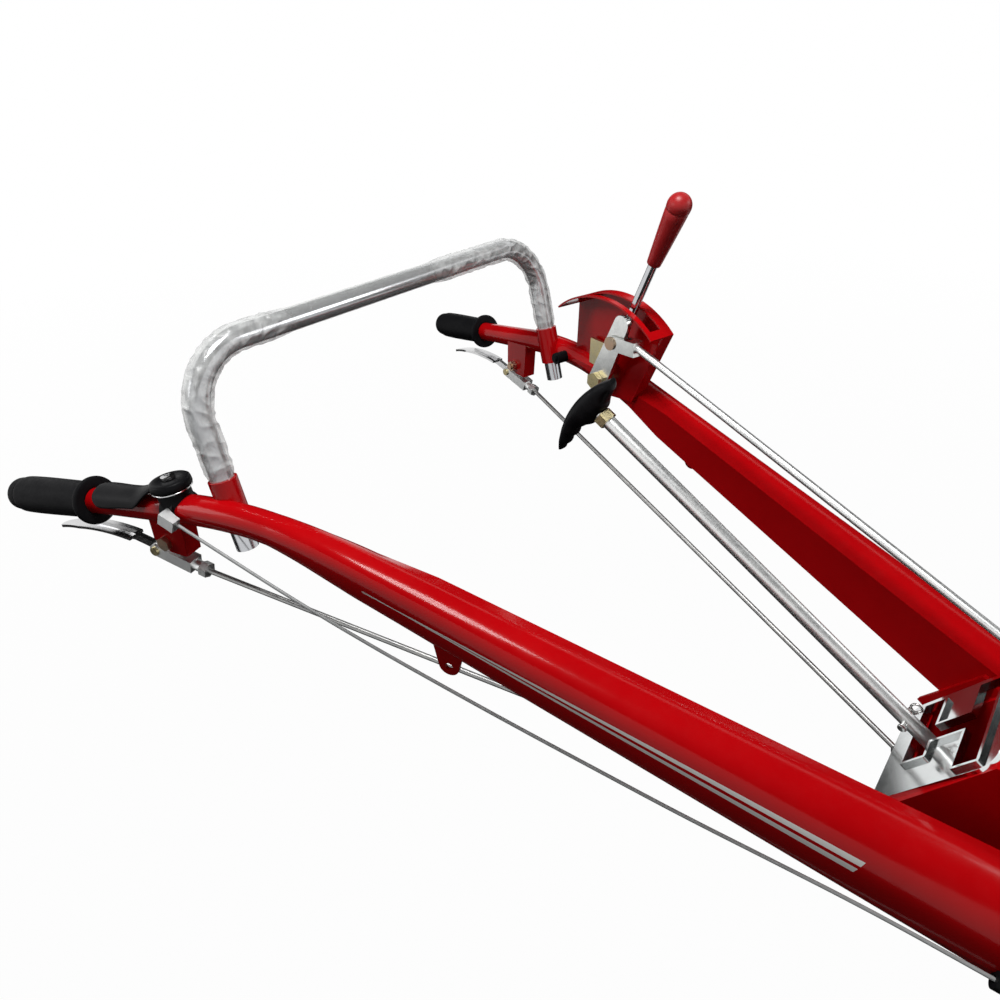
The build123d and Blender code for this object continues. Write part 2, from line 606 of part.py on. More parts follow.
def clutch_rod():
    """Rod from the clutch fork, over the arm, to an eye beside the gate's top."""
    start = (
        CLUTCH_FORK_AT + CLUTCH_FORK_LENGTH * cos(radians(CLUTCH_FORK_SLOPE)),
        CLUTCH_PLATE_SIDE,
        CLUTCH_FORK_Z - CLUTCH_FORK_LENGTH * sin(radians(CLUTCH_FORK_SLOPE)),
    )
    length = run_to(start, CLUTCH_ROD_SLOPE, 0, CLUTCH_EYE_PAST)
    rod = eye_rod(CLUTCH_ROD_RADIUS, length, CLUTCH_EYE_RADIUS, CLUTCH_EYE_HOLE, CLUTCH_EYE_THICK)
    behind = clutch_link_side(block(-FAR, CLUTCH_FORK_LENGTH, -FAR, FAR, -FAR, FAR))
    return Pos(*start) * Rot(0, CLUTCH_ROD_SLOPE, 0) * rod - behind


def clutch_bolt():
    """Pivot bolt with its spacer, on the quadrant's bracket."""
    seat = ARM_INNER - BRACKET_THICK
    outer_face = CLUTCH_PLATE_SIDE + CLUTCH_PLATE_THICK / 2 + FIT_GAP
    inner_face = CLUTCH_PLATE_SIDE - CLUTCH_PLATE_THICK / 2 - FIT_GAP
    body = cross_pin(CLUTCH_AT, CLUTCH_Z, CLUTCH_BOLT_RADIUS, inner_face, seat)
    body += cross_pin(CLUTCH_AT, CLUTCH_Z, CLUTCH_BOLT_SPACER, outer_face, seat)
    head = hexagon_bar(HEX_SHARE * CLUTCH_BOLT_RADIUS, inner_face - CLUTCH_BOLT_HEAD, inner_face)
    return body + Pos(CLUTCH_AT, 0, CLUTCH_Z) * Rot(0, 0, 90) * head


BAND_AT, BAND_Z = CLUTCH_AT + BAND_AHEAD, CLUTCH_Z - BAND_BELOW


def polar(angle, radius):
    """Point in the side view, at an angle forward of upright from the band's centre."""
    return (BAND_AT + radius * sin(radians(angle)), BAND_Z + radius * cos(radians(angle)))


def band_angle(lean):
    """Angle on the band where the clutch lever crosses it at a lean."""
    ahead, up = sin(radians(lean)), cos(radians(lean))
    shift = BAND_BELOW * up - BAND_AHEAD * ahead
    reach = (shift**2 - BAND_AHEAD**2 - BAND_BELOW**2 + BAND_RADIUS**2) ** 0.5 - shift
    return degrees(atan2(reach * ahead - BAND_AHEAD, reach * up + BAND_BELOW))


def sector(rear, front, inside, outside):
    """Ring sector about the band's centre."""
    middle = (rear + front) / 2
    edges = [
        ThreePointArc(polar(rear, inside), polar(middle, inside), polar(front, inside)),
        Line(polar(front, inside), polar(front, outside)),
        ThreePointArc(polar(front, outside), polar(middle, outside), polar(rear, outside)),
        Line(polar(rear, outside), polar(rear, inside)),
    ]
    return make_face(edges)


def side_polygon(*points):
    return make_face(Polyline(*points, close=True))


def quadrant():
    """Sheet hood over the clutch lever: slotted band, outer wall, front wall, inner bracket."""
    outside = BAND_RADIUS + BAND_THICK
    body = side_plate(sector(BAND_REAR, BAND_FRONT, BAND_RADIUS, outside), BAND_INNER, BAND_OUTER)
    slot_rear = band_angle(CLUTCH_LEAN - CLUTCH_REARWARD) - SLOT_OVERRUN
    slot_front = band_angle(CLUTCH_LEAN + CLUTCH_FORWARD) + SLOT_OVERRUN
    slot = sector(slot_rear, slot_front, BAND_RADIUS - BAND_THICK, outside + BAND_THICK)
    body -= side_plate(slot, STEM_SIDE - SLOT_HALF, STEM_SIDE + SLOT_HALF)

    rear_foot = (CLUTCH_AT - HOOD_FOOT_REAR, tube_z(CLUTCH_AT - HOOD_FOOT_REAR))
    front_foot = (CLUTCH_AT + HOOD_FOOT_FRONT, tube_z(CLUTCH_AT + HOOD_FOOT_FRONT))
    rear_top, front_top = polar(BAND_REAR, BAND_RADIUS), polar(BAND_FRONT, BAND_RADIUS)
    crown = polar((BAND_REAR + BAND_FRONT) / 2, BAND_RADIUS)
    wall = make_face(
        [
            ThreePointArc(rear_top, crown, front_top),
            Line(front_top, front_foot),
            Line(front_foot, rear_foot),
            Line(rear_foot, rear_top),
        ]
    )
    body += side_plate(wall, BAND_OUTER - BRACKET_THICK, BAND_OUTER)

    share = BAND_THICK / hypot(front_top[0] - front_foot[0], front_top[1] - front_foot[1])
    behind = (share * (front_foot[1] - front_top[1]), share * (front_top[0] - front_foot[0]))
    front_wall = side_polygon(
        front_top,
        polar(BAND_FRONT, outside),
        front_foot,
        (front_foot[0] + behind[0], front_foot[1] + behind[1]),
        (front_top[0] + behind[0], front_top[1] + behind[1]),
    )
    body += side_plate(front_wall, FRONT_WALL_INNER, BAND_OUTER)

    drop = GUSSET_TOP / (front_top[1] - front_foot[1])
    gusset_top = (front_top[0] + drop * (front_foot[0] - front_top[0]), front_top[1] - GUSSET_TOP)
    gusset = side_polygon(
        (CLUTCH_AT, CLUTCH_Z), gusset_top, front_foot, (CLUTCH_AT, CLUTCH_Z - BRACKET_RADIUS)
    )
    boss = Pos(CLUTCH_AT, CLUTCH_Z) * Circle(BRACKET_RADIUS)
    body += side_plate(gusset + boss, ARM_INNER - BRACKET_THICK, ARM_INNER)
    return one_solid(body - arm_box() - arm_tube())


def lever_strap():
    """Plated strap on the arm beside the clutch lever."""
    half = STRAP_LENGTH / 2
    base = tube_z(STRAP_AT)
    body = block(
        STRAP_AT - half, STRAP_AT + half,
        STRAP_SIDE - STRAP_THICK / 2, STRAP_SIDE + STRAP_THICK / 2,
        base, base + NECK_RADIUS + STRAP_HEIGHT,
    )
    return max((body - arm_tube() - arm_box()).solids(), key=lambda solid: solid.center().Z)


def stop_switch():
    """Push switch on the inner side of the arm."""
    z = tube_z(SWITCH_AT) - SWITCH_DROP
    end = -NECK_RADIUS - SWITCH_LENGTH
    body = cross_pin(SWITCH_AT, z, SWITCH_RADIUS, end, 0)
    body += cross_pin(SWITCH_AT, z, SWITCH_RADIUS / 2, end - SWITCH_BUTTON, 0)
    return min((body - arm_tube()).solids(), key=lambda solid: solid.center().Y)


def throttle_side(shape):
    """Shape on the tube's centre line under the throttle, X along the tube, Z out of it."""
    return raised(THROTTLE_AT, tube_z(THROTTLE_AT), REAR_SLOPE, shape)


CLAMP_RADIUS = NECK_RADIUS + CLAMP_WALL
CAP_FROM = CLAMP_RADIUS + HOUSING_HEIGHT + CAP_GAP


def throttle_housing():
    """Saddle on the tube, with the round seat and the post of the thumb lever."""
    body = bar(CLAMP_RADIUS, -CLAMP_LENGTH / 2, CLAMP_LENGTH / 2)
    body -= block(-CLAMP_LENGTH, CLAMP_LENGTH, -FAR, FAR, -FAR, 0)
    seat_height = CLAMP_RADIUS + HOUSING_HEIGHT
    body += Pos(0, 0, seat_height / 2) * Cylinder(HOUSING_RADIUS, seat_height)
    post_height = CAP_FROM + CAP_HEIGHT + CAP_GAP + SCREW_HEIGHT
    body += Pos(0, 0, post_height / 2) * Cylinder(POST_RADIUS, post_height)
    body += Pos(0, 0, post_height - SCREW_HEIGHT / 2) * Cylinder(SCREW_RADIUS, SCREW_HEIGHT)
    return one_solid(throttle_side(body) - arm_tube())


def turned(radius, angle):
    """Point across the tube, at an angle outward from its top."""
    return (radius * sin(radians(angle)), radius * cos(radians(angle)))


THUMB_EDGES = (THUMB_TOP, (THUMB_TOP + THUMB_LOW) / 2, THUMB_LOW)


def throttle_thumb():
    """Round cap with the thumb paddle, curved over the tube's outer side."""
    cap = Pos(0, 0, CAP_FROM + CAP_HEIGHT / 2) * Cylinder(CAP_RADIUS, CAP_HEIGHT)
    inside = NECK_RADIUS + THUMB_CLEARANCE
    outside = inside + THUMB_THICK
    ring = Circle(outside) - Circle(inside)
    wedge = make_face(Polyline((0, 0), *(turned(FAR, angle) for angle in THUMB_EDGES), close=True))
    across = Plane((-THUMB_LENGTH, 0, 0), x_dir=(0, 1, 0), z_dir=(1, 0, 0))
    paddle = extrude(across * (ring & wedge), amount=THUMB_LENGTH - THUMB_ROOT)
    root_end = -THUMB_ROOT - THUMB_ROOT_LENGTH
    tongue_top = CAP_FROM + THUMB_THICK
    tongue = block(root_end, 0, -THUMB_ROOT_HALF, THUMB_ROOT_HALF, CAP_FROM, tongue_top)
    root = block(root_end, -THUMB_ROOT, -THUMB_ROOT_HALF, THUMB_ROOT_HALF, inside, tongue_top)
    hole = Pos(0, 0, CAP_FROM) * Cylinder(POST_RADIUS + FIT_GAP, FAR)
    return one_solid(throttle_side(cap + paddle + tongue + root - hole))


def cable_run(first, second):
    """Frame at the first of two points of the cable's route, with X towards the second."""
    start = Vector(*first)
    forward = (Vector(*second) - start).normalized()
    return Location(Plane(start, x_dir=forward, z_dir=Vector(0, 1, 0).cross(forward) * -1))


def cable_stop():
    """Block beside the throttle that the cable comes out of."""
    body = block(-STOP_LENGTH, 0, -STOP_HALF - STOP_BACK, STOP_HALF, -STOP_HALF, STOP_HALF)
    placed = cable_run(CABLE_ROUTE[0], CABLE_ROUTE[1]) * body
    clamp = throttle_side(bar(CLAMP_RADIUS, -FAR, FAR))
    return one_solid(placed - clamp)


def throttle_cable():
    """Sheathed cable from the throttle, under the arm, to the clip at the front."""
    points = [Vector(*point) for point in CABLE_ROUTE]
    runs = [after - before for before, after in zip(points, points[1:])]
    radii = []
    for before, after in zip(runs, runs[1:]):
        half_turn = radians(before.get_angle(after) / 2)
        radii.append(0.45 * min(before.length, after.length) / tan(half_turn))
    print("cable radii", [round(radius) for radius in radii])
    path = FilletPolyline(*points, radius=radii)
    tube = sweep(Plane(path @ 0, z_dir=path % 0) * Circle(CABLE_RADIUS), path)
    print("cable volume share", tube.volume / (Circle(CABLE_RADIUS).area * path.length))
    return tube


def cable_clip():
    """Clip on the arm round the front end of the cable."""
    body = bar(CLIP_RADIUS, -CLIP_LENGTH, 0) - bar(CABLE_RADIUS + FIT_GAP, -CLIP_LENGTH, 0)
    last = Vector(*CABLE_ROUTE[-1])
    forward = last - Vector(*CABLE_ROUTE[-2])
    placed = cable_run(last, last + forward) * body
    return one_solid(placed - arm_box())


GATE_COS, GATE_SIN = cos(radians(GATE_SLOPE)), sin(radians(GATE_SLOPE))
GATE_PLANE = Plane((GATE_X, 0, GATE_Z), x_dir=(0, -1, 0), z_dir=(-GATE_SIN, 0, GATE_COS))


def gate_side(up, depth):
    """Point in the side view, up the gate and below its face."""
    return (GATE_X + up * GATE_COS + depth * GATE_SIN, GATE_Z + up * GATE_SIN - depth * GATE_COS)


def gate_rectangle(right, left, low, high):
    return Pos(-(right + left) / 2, (low + high) / 2) * Rectangle(left - right, high - low)


def gate_slots():
    """Shift pattern: two cross slots joined by a channel."""
    half = SLOT_WIDTH / 2
    upper = gate_rectangle(UPPER_RIGHT, UPPER_LEFT, UPPER_SLOT - half, UPPER_SLOT + half)
    lower = gate_rectangle(LOWER_RIGHT, LOWER_LEFT, LOWER_SLOT - half, LOWER_SLOT + half)
    channel = gate_rectangle(GEAR_SIDE - half, GEAR_SIDE + half, LOWER_SLOT, UPPER_SLOT)
    return upper + lower + channel


def gate_plate():
    """Plate with the shift pattern and a lip round it."""
    sheet = gate_rectangle(GATE_RIGHT, GATE_LEFT, GATE_LOW, GATE_HIGH)
    sheet = fillet(sheet.vertices(), GATE_CORNER)
    slots = gate_slots()
    rim = offset(slots, GATE_LIP_WALL, kind=Kind.ARC)
    body = extrude(GATE_PLANE * sheet, amount=-GATE_THICK) + extrude(GATE_PLANE * rim, amount=GATE_LIP)
    return body - extrude(GATE_PLANE * slots, amount=FAR, both=True)


def tower_half(x):
    """Half width of the tower, which narrows towards the front."""
    share = (x - GATE_X) / (TOWER_FRONT_X - GATE_X)
    return TOWER_REAR_HALF + share * (TOWER_FRONT_HALF - TOWER_REAR_HALF)


def tower_block(wall, low_z):
    """Tower without its hollow, or the hollow itself where a wall is given."""
    low_end = gate_side(GATE_LOW + TOWER_LEDGE + wall, GATE_THICK + wall)
    high_end = gate_side(GATE_HIGH - TOWER_LEDGE - wall, GATE_THICK + wall)
    front = TOWER_FRONT_X - wall
    side = make_face(
        Polyline(
            (TOWER_FOOT_X + wall, low_z),
            low_end,
            high_end,
            (front - TOWER_CHAMFER, high_end[1]),
            (front, high_end[1] - TOWER_CHAMFER),
            (front, low_z),
            close=True,
        )
    )
    plan = make_face(
        Polyline(
            (GATE_X, tower_half(GATE_X) - wall),
            (TOWER_FRONT_X, tower_half(TOWER_FRONT_X) - wall),
            (TOWER_FRONT_X, wall - tower_half(TOWER_FRONT_X)),
            (GATE_X, wall - tower_half(GATE_X)),
            close=True,
        )
    )
    return side_plate(side, -FAR, FAR) & extrude(plan, amount=FAR)


GEAR_PIVOT = Vector(
    gate_side(GEAR_AT_GATE, 0)[0] + GEAR_INSIDE * cos(radians(GEAR_SLOPE)),
    GEAR_SIDE,
    gate_side(GEAR_AT_GATE, 0)[1] - GEAR_INSIDE * sin(radians(GEAR_SLOPE)),
)


def base_tower():
    """Hollow shift tower, open to the flange below and behind the gate."""
    body = tower_block(0, FLANGE_THICK) - tower_block(TOWER_WALL, FLANGE_THICK)
    half = SLOT_WIDTH / 2 + GATE_LIP_WALL
    window = gate_rectangle(
        UPPER_RIGHT - GATE_LIP_WALL, UPPER_LEFT + GATE_LIP_WALL, LOWER_SLOT - half, UPPER_SLOT + half
    )
    body -= extrude(GATE_PLANE * window, amount=-GATE_THICK - 2 * TOWER_WALL)
    body -= cross_pin(GEAR_PIVOT.X, GEAR_PIVOT.Z, GEAR_PIN_RADIUS + WELD_GAP, -FAR, FAR)
    return one_solid(body)


def base_flange():
    """Bolt-down plate that runs back under the tower, with the shift opening."""
    front = FLANGE_LENGTH / 2
    rear = TOWER_FOOT_X - FLANGE_TAIL
    plan = RectangleRounded(FLANGE_LENGTH, FLANGE_WIDTH, FLANGE_CORNER)
    plan += Pos((rear + front) / 2, 0) * RectangleRounded(front - rear, 2 * TOWER_REAR_HALF, FLANGE_CORNER)
    window_rear = TOWER_FOOT_X + WINDOW_MARGIN
    window_front = TOWER_FRONT_X - WINDOW_MARGIN
    window_width = 2 * (TOWER_FRONT_HALF - WINDOW_MARGIN / 2)
    plan -= Pos((window_rear + window_front) / 2, 0) * Rectangle(window_front - window_rear, window_width)
    for bolt in GridLocations(BOLT_SPACING_X, BOLT_SPACING_Y, 2, 2):
        plan -= bolt * Circle(BOLT_HOLE_RADIUS)
    return extrude(plan, amount=FLANGE_THICK)


def cheek():
    """Side plate that laps an arm's flat inner wall and stands on the flange."""
    slope_run = (CHEEK_TOP_Z - CHEEK_KNEE_Z) / tan(radians(GATE_SLOPE))
    outline = Polyline(
        (CHEEK_FOOT_AT, FLANGE_THICK),
        (CHEEK_KNEE_AT, CHEEK_KNEE_Z),
        (CHEEK_KNEE_AT + slope_run, CHEEK_TOP_Z),
        (CHEEK_FRONT_AT, tube_z(CHEEK_FRONT_AT) + CHEEK_LAP),
        (CHEEK_FRONT_AT, FLANGE_THICK),
        close=True,
    )
    return side_plate(make_face(outline), ARM_INNER - CHEEK_THICK, ARM_INNER)


def gear_side(shape):
    """Shape drawn along +X from the gear lever's cross pin, set along the lever."""
    return Pos(*GEAR_PIVOT) * Rot(0, GEAR_SLOPE, 0) * Rot(0, 0, 180) * shape


def gear_pin():
    """Cross pin through the tower walls."""
    end = tower_half(GEAR_PIVOT.X) + GEAR_PIN_TAIL
    return cross_pin(GEAR_PIVOT.X, GEAR_PIVOT.Z, GEAR_PIN_RADIUS, -end, end)


GEAR_LENGTH = GEAR_INSIDE + GEAR_OUTSIDE


def gear_stem():
    """Lever with the boss that turns on the cross pin."""
    body = bar(GEAR_RADIUS, 0, GEAR_LENGTH + GEAR_NUT_LENGTH)
    body += cross_pin(0, 0, GEAR_BOSS_RADIUS, -GEAR_BOSS_LENGTH / 2, GEAR_BOSS_LENGTH / 2)
    return gear_side(body - cross_pin(0, 0, GEAR_PIN_RADIUS + FIT_GAP, -FAR, FAR))


def gear_nut():
    """Lock nut under the knob."""
    nut = hexagon_bar(GEAR_NUT_RADIUS, GEAR_LENGTH - GEAR_NUT_LENGTH, GEAR_LENGTH)
    return gear_side(nut - bar(GEAR_RADIUS + WELD_GAP, 0, FAR + FAR))


def gear_knob():
    """Hooked hand knob: long lower wing, short upper lobe, and a hub on the lever."""
    lobe, wing_tip = (KNOB_HUB, KNOB_LOBE), (KNOB_LIP + 2, -KNOB_WING)
    wing_front, notch = (KNOB_LIP - 5, 10 - KNOB_WING), (KNOB_LIP - 4, -1.8 * KNOB_HUB)
    lobe_front = (2, KNOB_LOBE - 8)
    outline = make_face(
        [
            ThreePointArc(lobe, (KNOB_BACK, (KNOB_LOBE - KNOB_WING) / 2), wing_tip),
            ThreePointArc(wing_tip, (KNOB_LIP - 4, 3 - KNOB_WING), wing_front),
            ThreePointArc(wing_front, (KNOB_LIP, -3.5 * KNOB_HUB), notch),
            Polyline(notch, (0, -KNOB_HUB), (0, KNOB_HUB), lobe_front),
            ThreePointArc(lobe_front, (5, KNOB_LOBE - 1), lobe),
        ]
    )
    body = side_plate(outline, -GEAR_KNOB_HALF, GEAR_KNOB_HALF)
    body &= Pos(KNOB_BACK / 2, 0, 0) * Cylinder(KNOB_ROUND, FAR)
    body = Pos(GEAR_LENGTH, 0, 0) * body
    return gear_side(body - bar(GEAR_RADIUS + WELD_GAP, 0, GEAR_LENGTH + GEAR_NUT_LENGTH))


PIECES = {
    "base_flange": base_flange(),
    "base_tower": base_tower(),
    "gate_plate": gate_plate(),
    "gear_pin": gear_pin(),
    "gear_stem": gear_stem(),
    "gear_nut": gear_nut(),
    "gear_knob": gear_knob(),
    "cross_bar": cross_bar(),
    "quadrant": on_left(quadrant()),
    "clutch_bolt": on_left(clutch_bolt()),
    "clutch_plate": on_left(clutch_plate()),
    "clutch_stem": on_left(clutch_stem()),
    "clutch_knob": on_left(clutch_knob()),
    "clutch_fork": on_left(clutch_fork()),
    "clutch_pin": on_left(clutch_pin()),
    "clutch_rod": on_left(clutch_rod()),
    "lever_strap": on_left(lever_strap()),
    "stop_switch": on_left(stop_switch()),
    "throttle_housing": on_right(throttle_housing()),
    "throttle_thumb": on_right(throttle_thumb()),
    "cable_stop": on_right(cable_stop()),
    "throttle_cable": on_right(throttle_cable()),
    "cable_clip": on_right(cable_clip()),
}

# Pieces that both arms have, drawn for the left one
PAIRS = {
    "arm": arm(),
    "socket": socket(),
    "grip": on_left(grip()),
    "hanger": on_left(hanger()),
    "lever_bolt": on_left(lever_bolt()),
    "steer_lever": on_left(steer_lever()),
    "rod_fork": on_left(rod_fork()),
    "rod_pin": on_left(rod_pin()),
    "steer_rod": on_left(steer_rod()),
    "cable_ear": on_left(cable_ear()),
    "cheek": on_left(cheek()),
}
for name, shape in PAIRS.items():
    PIECES[name + "_left"] = shape
    PIECES[name + "_right"] = mirror(shape, about=Plane.XZ)

os.makedirs("parts", exist_ok=True)
for name, shape in PIECES.items():
    export_step(shape, f"parts/{name}.step")
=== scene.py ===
import json
import math
import bmesh
import bpy
import numpy as np
from mathutils import Matrix, Vector

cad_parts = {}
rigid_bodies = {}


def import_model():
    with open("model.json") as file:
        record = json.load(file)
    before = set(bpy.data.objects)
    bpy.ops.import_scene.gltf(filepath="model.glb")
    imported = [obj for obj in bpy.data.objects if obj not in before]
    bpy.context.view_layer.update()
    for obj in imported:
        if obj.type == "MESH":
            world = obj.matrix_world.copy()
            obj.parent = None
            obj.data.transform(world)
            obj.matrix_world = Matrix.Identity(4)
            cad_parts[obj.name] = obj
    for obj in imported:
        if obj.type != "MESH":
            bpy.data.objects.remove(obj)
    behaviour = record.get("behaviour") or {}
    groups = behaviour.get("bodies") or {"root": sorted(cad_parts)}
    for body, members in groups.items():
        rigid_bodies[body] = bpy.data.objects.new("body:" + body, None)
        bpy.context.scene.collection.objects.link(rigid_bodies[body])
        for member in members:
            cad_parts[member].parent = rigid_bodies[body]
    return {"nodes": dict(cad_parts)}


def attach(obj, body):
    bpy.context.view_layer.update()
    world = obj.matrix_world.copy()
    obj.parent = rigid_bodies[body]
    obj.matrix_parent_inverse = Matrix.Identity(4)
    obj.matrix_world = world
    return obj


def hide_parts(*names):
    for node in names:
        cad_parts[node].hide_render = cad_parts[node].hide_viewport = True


for leftover in list(bpy.data.objects):
    bpy.data.objects.remove(leftover)
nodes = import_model()["nodes"]
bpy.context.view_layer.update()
print("frame loaded:", len(nodes), "nodes")

scene = bpy.context.scene
scene.view_settings.view_transform = "Standard"

# camera at the photograph's viewing place, 760 pixels of focal length in 1000
shot = {
    "place": (-0.167, -0.529, 0.612),
    "right": (0.7802, 0.6255, 0.0),
    "up": (-0.3390, 0.4228, 0.8406),
    "lens": 27.36,
}


def aimCamera(view):
    data = bpy.data.cameras.new("shot")
    data.lens = view["lens"]
    data.clip_start, data.clip_end = 0.01, 200
    eye = bpy.data.objects.new("shot", data)
    scene.collection.objects.link(eye)
    across, upward = Vector(view["right"]).normalized(), Vector(view["up"]).normalized()
    turn = Matrix((across, upward, across.cross(upward))).transposed().to_4x4()
    eye.matrix_world = Matrix.Translation(view["place"]) @ turn
    scene.camera = eye


aimCamera(shot)

# one arm seen in its own frame: along it from the grip's end, outward, up
armLay = {"rear": (-0.964, 0.3215), "toe": math.radians(14.6), "gripSlope": math.radians(10.5)}


def armPoint(along, outward, up, side):
    # the left arm's frame turned by the toe angle, with side -1 for its mirror image on the right
    along, outward, up = (np.asarray(v, float) for v in (along, outward, up))
    c, s = math.cos(armLay["toe"]), math.sin(armLay["toe"])
    x = armLay["rear"][0] + along * c + outward * s
    y = armLay["rear"][1] - along * s + outward * c
    return np.stack(np.broadcast_arrays(x, side * y, up), -1)


def armWay(along, outward, up, side):
    return armPoint(along, outward, up, side) - armPoint(0, 0, 0, side)


def unit(v):
    v = np.asarray(v, float)
    return v / np.linalg.norm(v, axis=-1, keepdims=True)


def signedPower(value, power):
    return np.sign(value) * np.abs(value) ** power


def makePiece(name, points, finish, body, poles=(False, False), aroundClosed=True, crease=40):
    # points[i, j] is a grid: i along the piece, j round it; a pole row is one point repeated
    rows, cols = points.shape[:2]
    i, j = np.meshgrid(np.arange(rows - 1), np.arange(cols if aroundClosed else cols - 1), indexing="ij")
    near, far = i * cols + j, i * cols + (j + 1) % cols
    quads = np.stack([near, far, far + cols, near + cols], -1).reshape(-1, 4)
    mesh = bpy.data.meshes.new(name)
    mesh.from_pydata(points.reshape(-1, 3).tolist(), [], quads.tolist())
    shape = bmesh.new()
    shape.from_mesh(mesh)
    if any(poles):
        bmesh.ops.remove_doubles(shape, verts=shape.verts, dist=1e-7)
        bmesh.ops.dissolve_degenerate(shape, edges=shape.edges, dist=1e-8)
    bmesh.ops.recalc_face_normals(shape, faces=shape.faces)
    shape.to_mesh(mesh)
    shape.free()
    mesh.polygons.foreach_set("use_smooth", np.ones(len(mesh.polygons), bool))
    mesh.set_sharp_from_angle(angle=math.radians(crease))
    piece = bpy.data.objects.new(name, mesh)
    scene.collection.objects.link(piece)
    mesh.materials.append(finish)
    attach(piece, body)
    return piece


def softened(profile, rounds=2):
    # corner cutting: each inner corner gives way to two points, a quarter in from both sides
    line = np.asarray(profile, float)
    for _ in range(rounds):
        quarter = line[:-1] * 0.75 + line[1:] * 0.25
        threeQuarter = line[:-1] * 0.25 + line[1:] * 0.75
        cut = np.stack([quarter, threeQuarter], 1).reshape(-1, line.shape[1])
        line = np.concatenate([line[:1], cut[1:-1], line[-1:]])
    return line


def turnedShape(profile, origin, axis, segments=72):
    # a profile of (distance along the axis, radius) carried once round the axis
    axis = unit(axis)
    helper = np.array([0.0, 1.0, 0.0]) if abs(axis[1]) < 0.9 else np.array([1.0, 0.0, 0.0])
    first = unit(np.cross(axis, helper))
    second = np.cross(axis, first)
    angle = np.linspace(0, 2 * np.pi, segments, endpoint=False)
    ring = np.cos(angle)[:, None] * first + np.sin(angle)[:, None] * second
    t, r = np.asarray(profile, float).T
    return np.asarray(origin) + t[:, None, None] * axis + r[:, None, None] * ring


# shader groups shared by the finishes
def newGroup(name, inputs, outputs):
    group = bpy.data.node_groups.new(name, "ShaderNodeTree")
    for label, kind, value in inputs:
        socket = group.interface.new_socket(name=label, in_out="INPUT", socket_type=kind)
        socket.default_value = value
    for label, kind in outputs:
        group.interface.new_socket(name=label, in_out="OUTPUT", socket_type=kind)
    return group, group.nodes.new("NodeGroupInput"), group.nodes.new("NodeGroupOutput")


def addNode(tree, kind, settings=None, values=None):
    node = tree.nodes.new(kind)
    for key, value in (settings or {}).items():
        setattr(node, key, value)
    for key, value in (values or {}).items():
        node.inputs[key].default_value = value
    return node


def buildFinishGrain():
    # broad noise mixes two tones, middling noise moves the roughness, fine noise is the height
    color, number, vector = "NodeSocketColor", "NodeSocketFloat", "NodeSocketVector"
    group, given, result = newGroup(
        "finishGrain",
        [("Place", vector, (0, 0, 0)), ("Tone", color, (0.5, 0.5, 0.5, 1)),
         ("Second Tone", color, (0.4, 0.4, 0.4, 1)), ("Broad Scale", number, 12.0),
         ("Fine Scale", number, 900.0), ("Rough Low", number, 0.2), ("Rough High", number, 0.4)],
        [("Colour", color), ("Roughness", number), ("Height", number)],
    )
    link = group.links.new
    broad = addNode(group, "ShaderNodeTexNoise", values={"Detail": 4.0, "Roughness": 0.6})
    fine = addNode(group, "ShaderNodeTexNoise", values={"Detail": 2.0, "Roughness": 0.5})
    middling = addNode(group, "ShaderNodeTexNoise", values={"Detail": 5.0, "Roughness": 0.65})
    ninefold = addNode(group, "ShaderNodeMath", {"operation": "MULTIPLY"}, {1: 9.0})
    steps = addNode(group, "ShaderNodeMapRange", values={"From Min": 0.35, "From Max": 0.65})
    mix = addNode(group, "ShaderNodeMix", {"data_type": "RGBA"})
    rough = addNode(group, "ShaderNodeMapRange", values={"From Min": 0.3, "From Max": 0.7})
    for noise in (broad, fine, middling):
        link(given.outputs["Place"], noise.inputs["Vector"])
    link(given.outputs["Broad Scale"], broad.inputs["Scale"])
    link(given.outputs["Broad Scale"], ninefold.inputs[0])
    link(ninefold.outputs[0], middling.inputs["Scale"])
    link(given.outputs["Fine Scale"], fine.inputs["Scale"])
    link(broad.outputs["Fac"], steps.inputs["Value"])
    link(steps.outputs["Result"], mix.inputs["Factor"])
    link(given.outputs["Tone"], mix.inputs["A"])
    link(given.outputs["Second Tone"], mix.inputs["B"])
    link(middling.outputs["Fac"], rough.inputs["Value"])
    link(given.outputs["Rough Low"], rough.inputs["To Min"])
    link(given.outputs["Rough High"], rough.inputs["To Max"])
    link(mix.outputs["Result"], result.inputs["Colour"])
    link(rough.outputs["Result"], result.inputs["Roughness"])
    link(fine.outputs["Fac"], result.inputs["Height"])
    return group


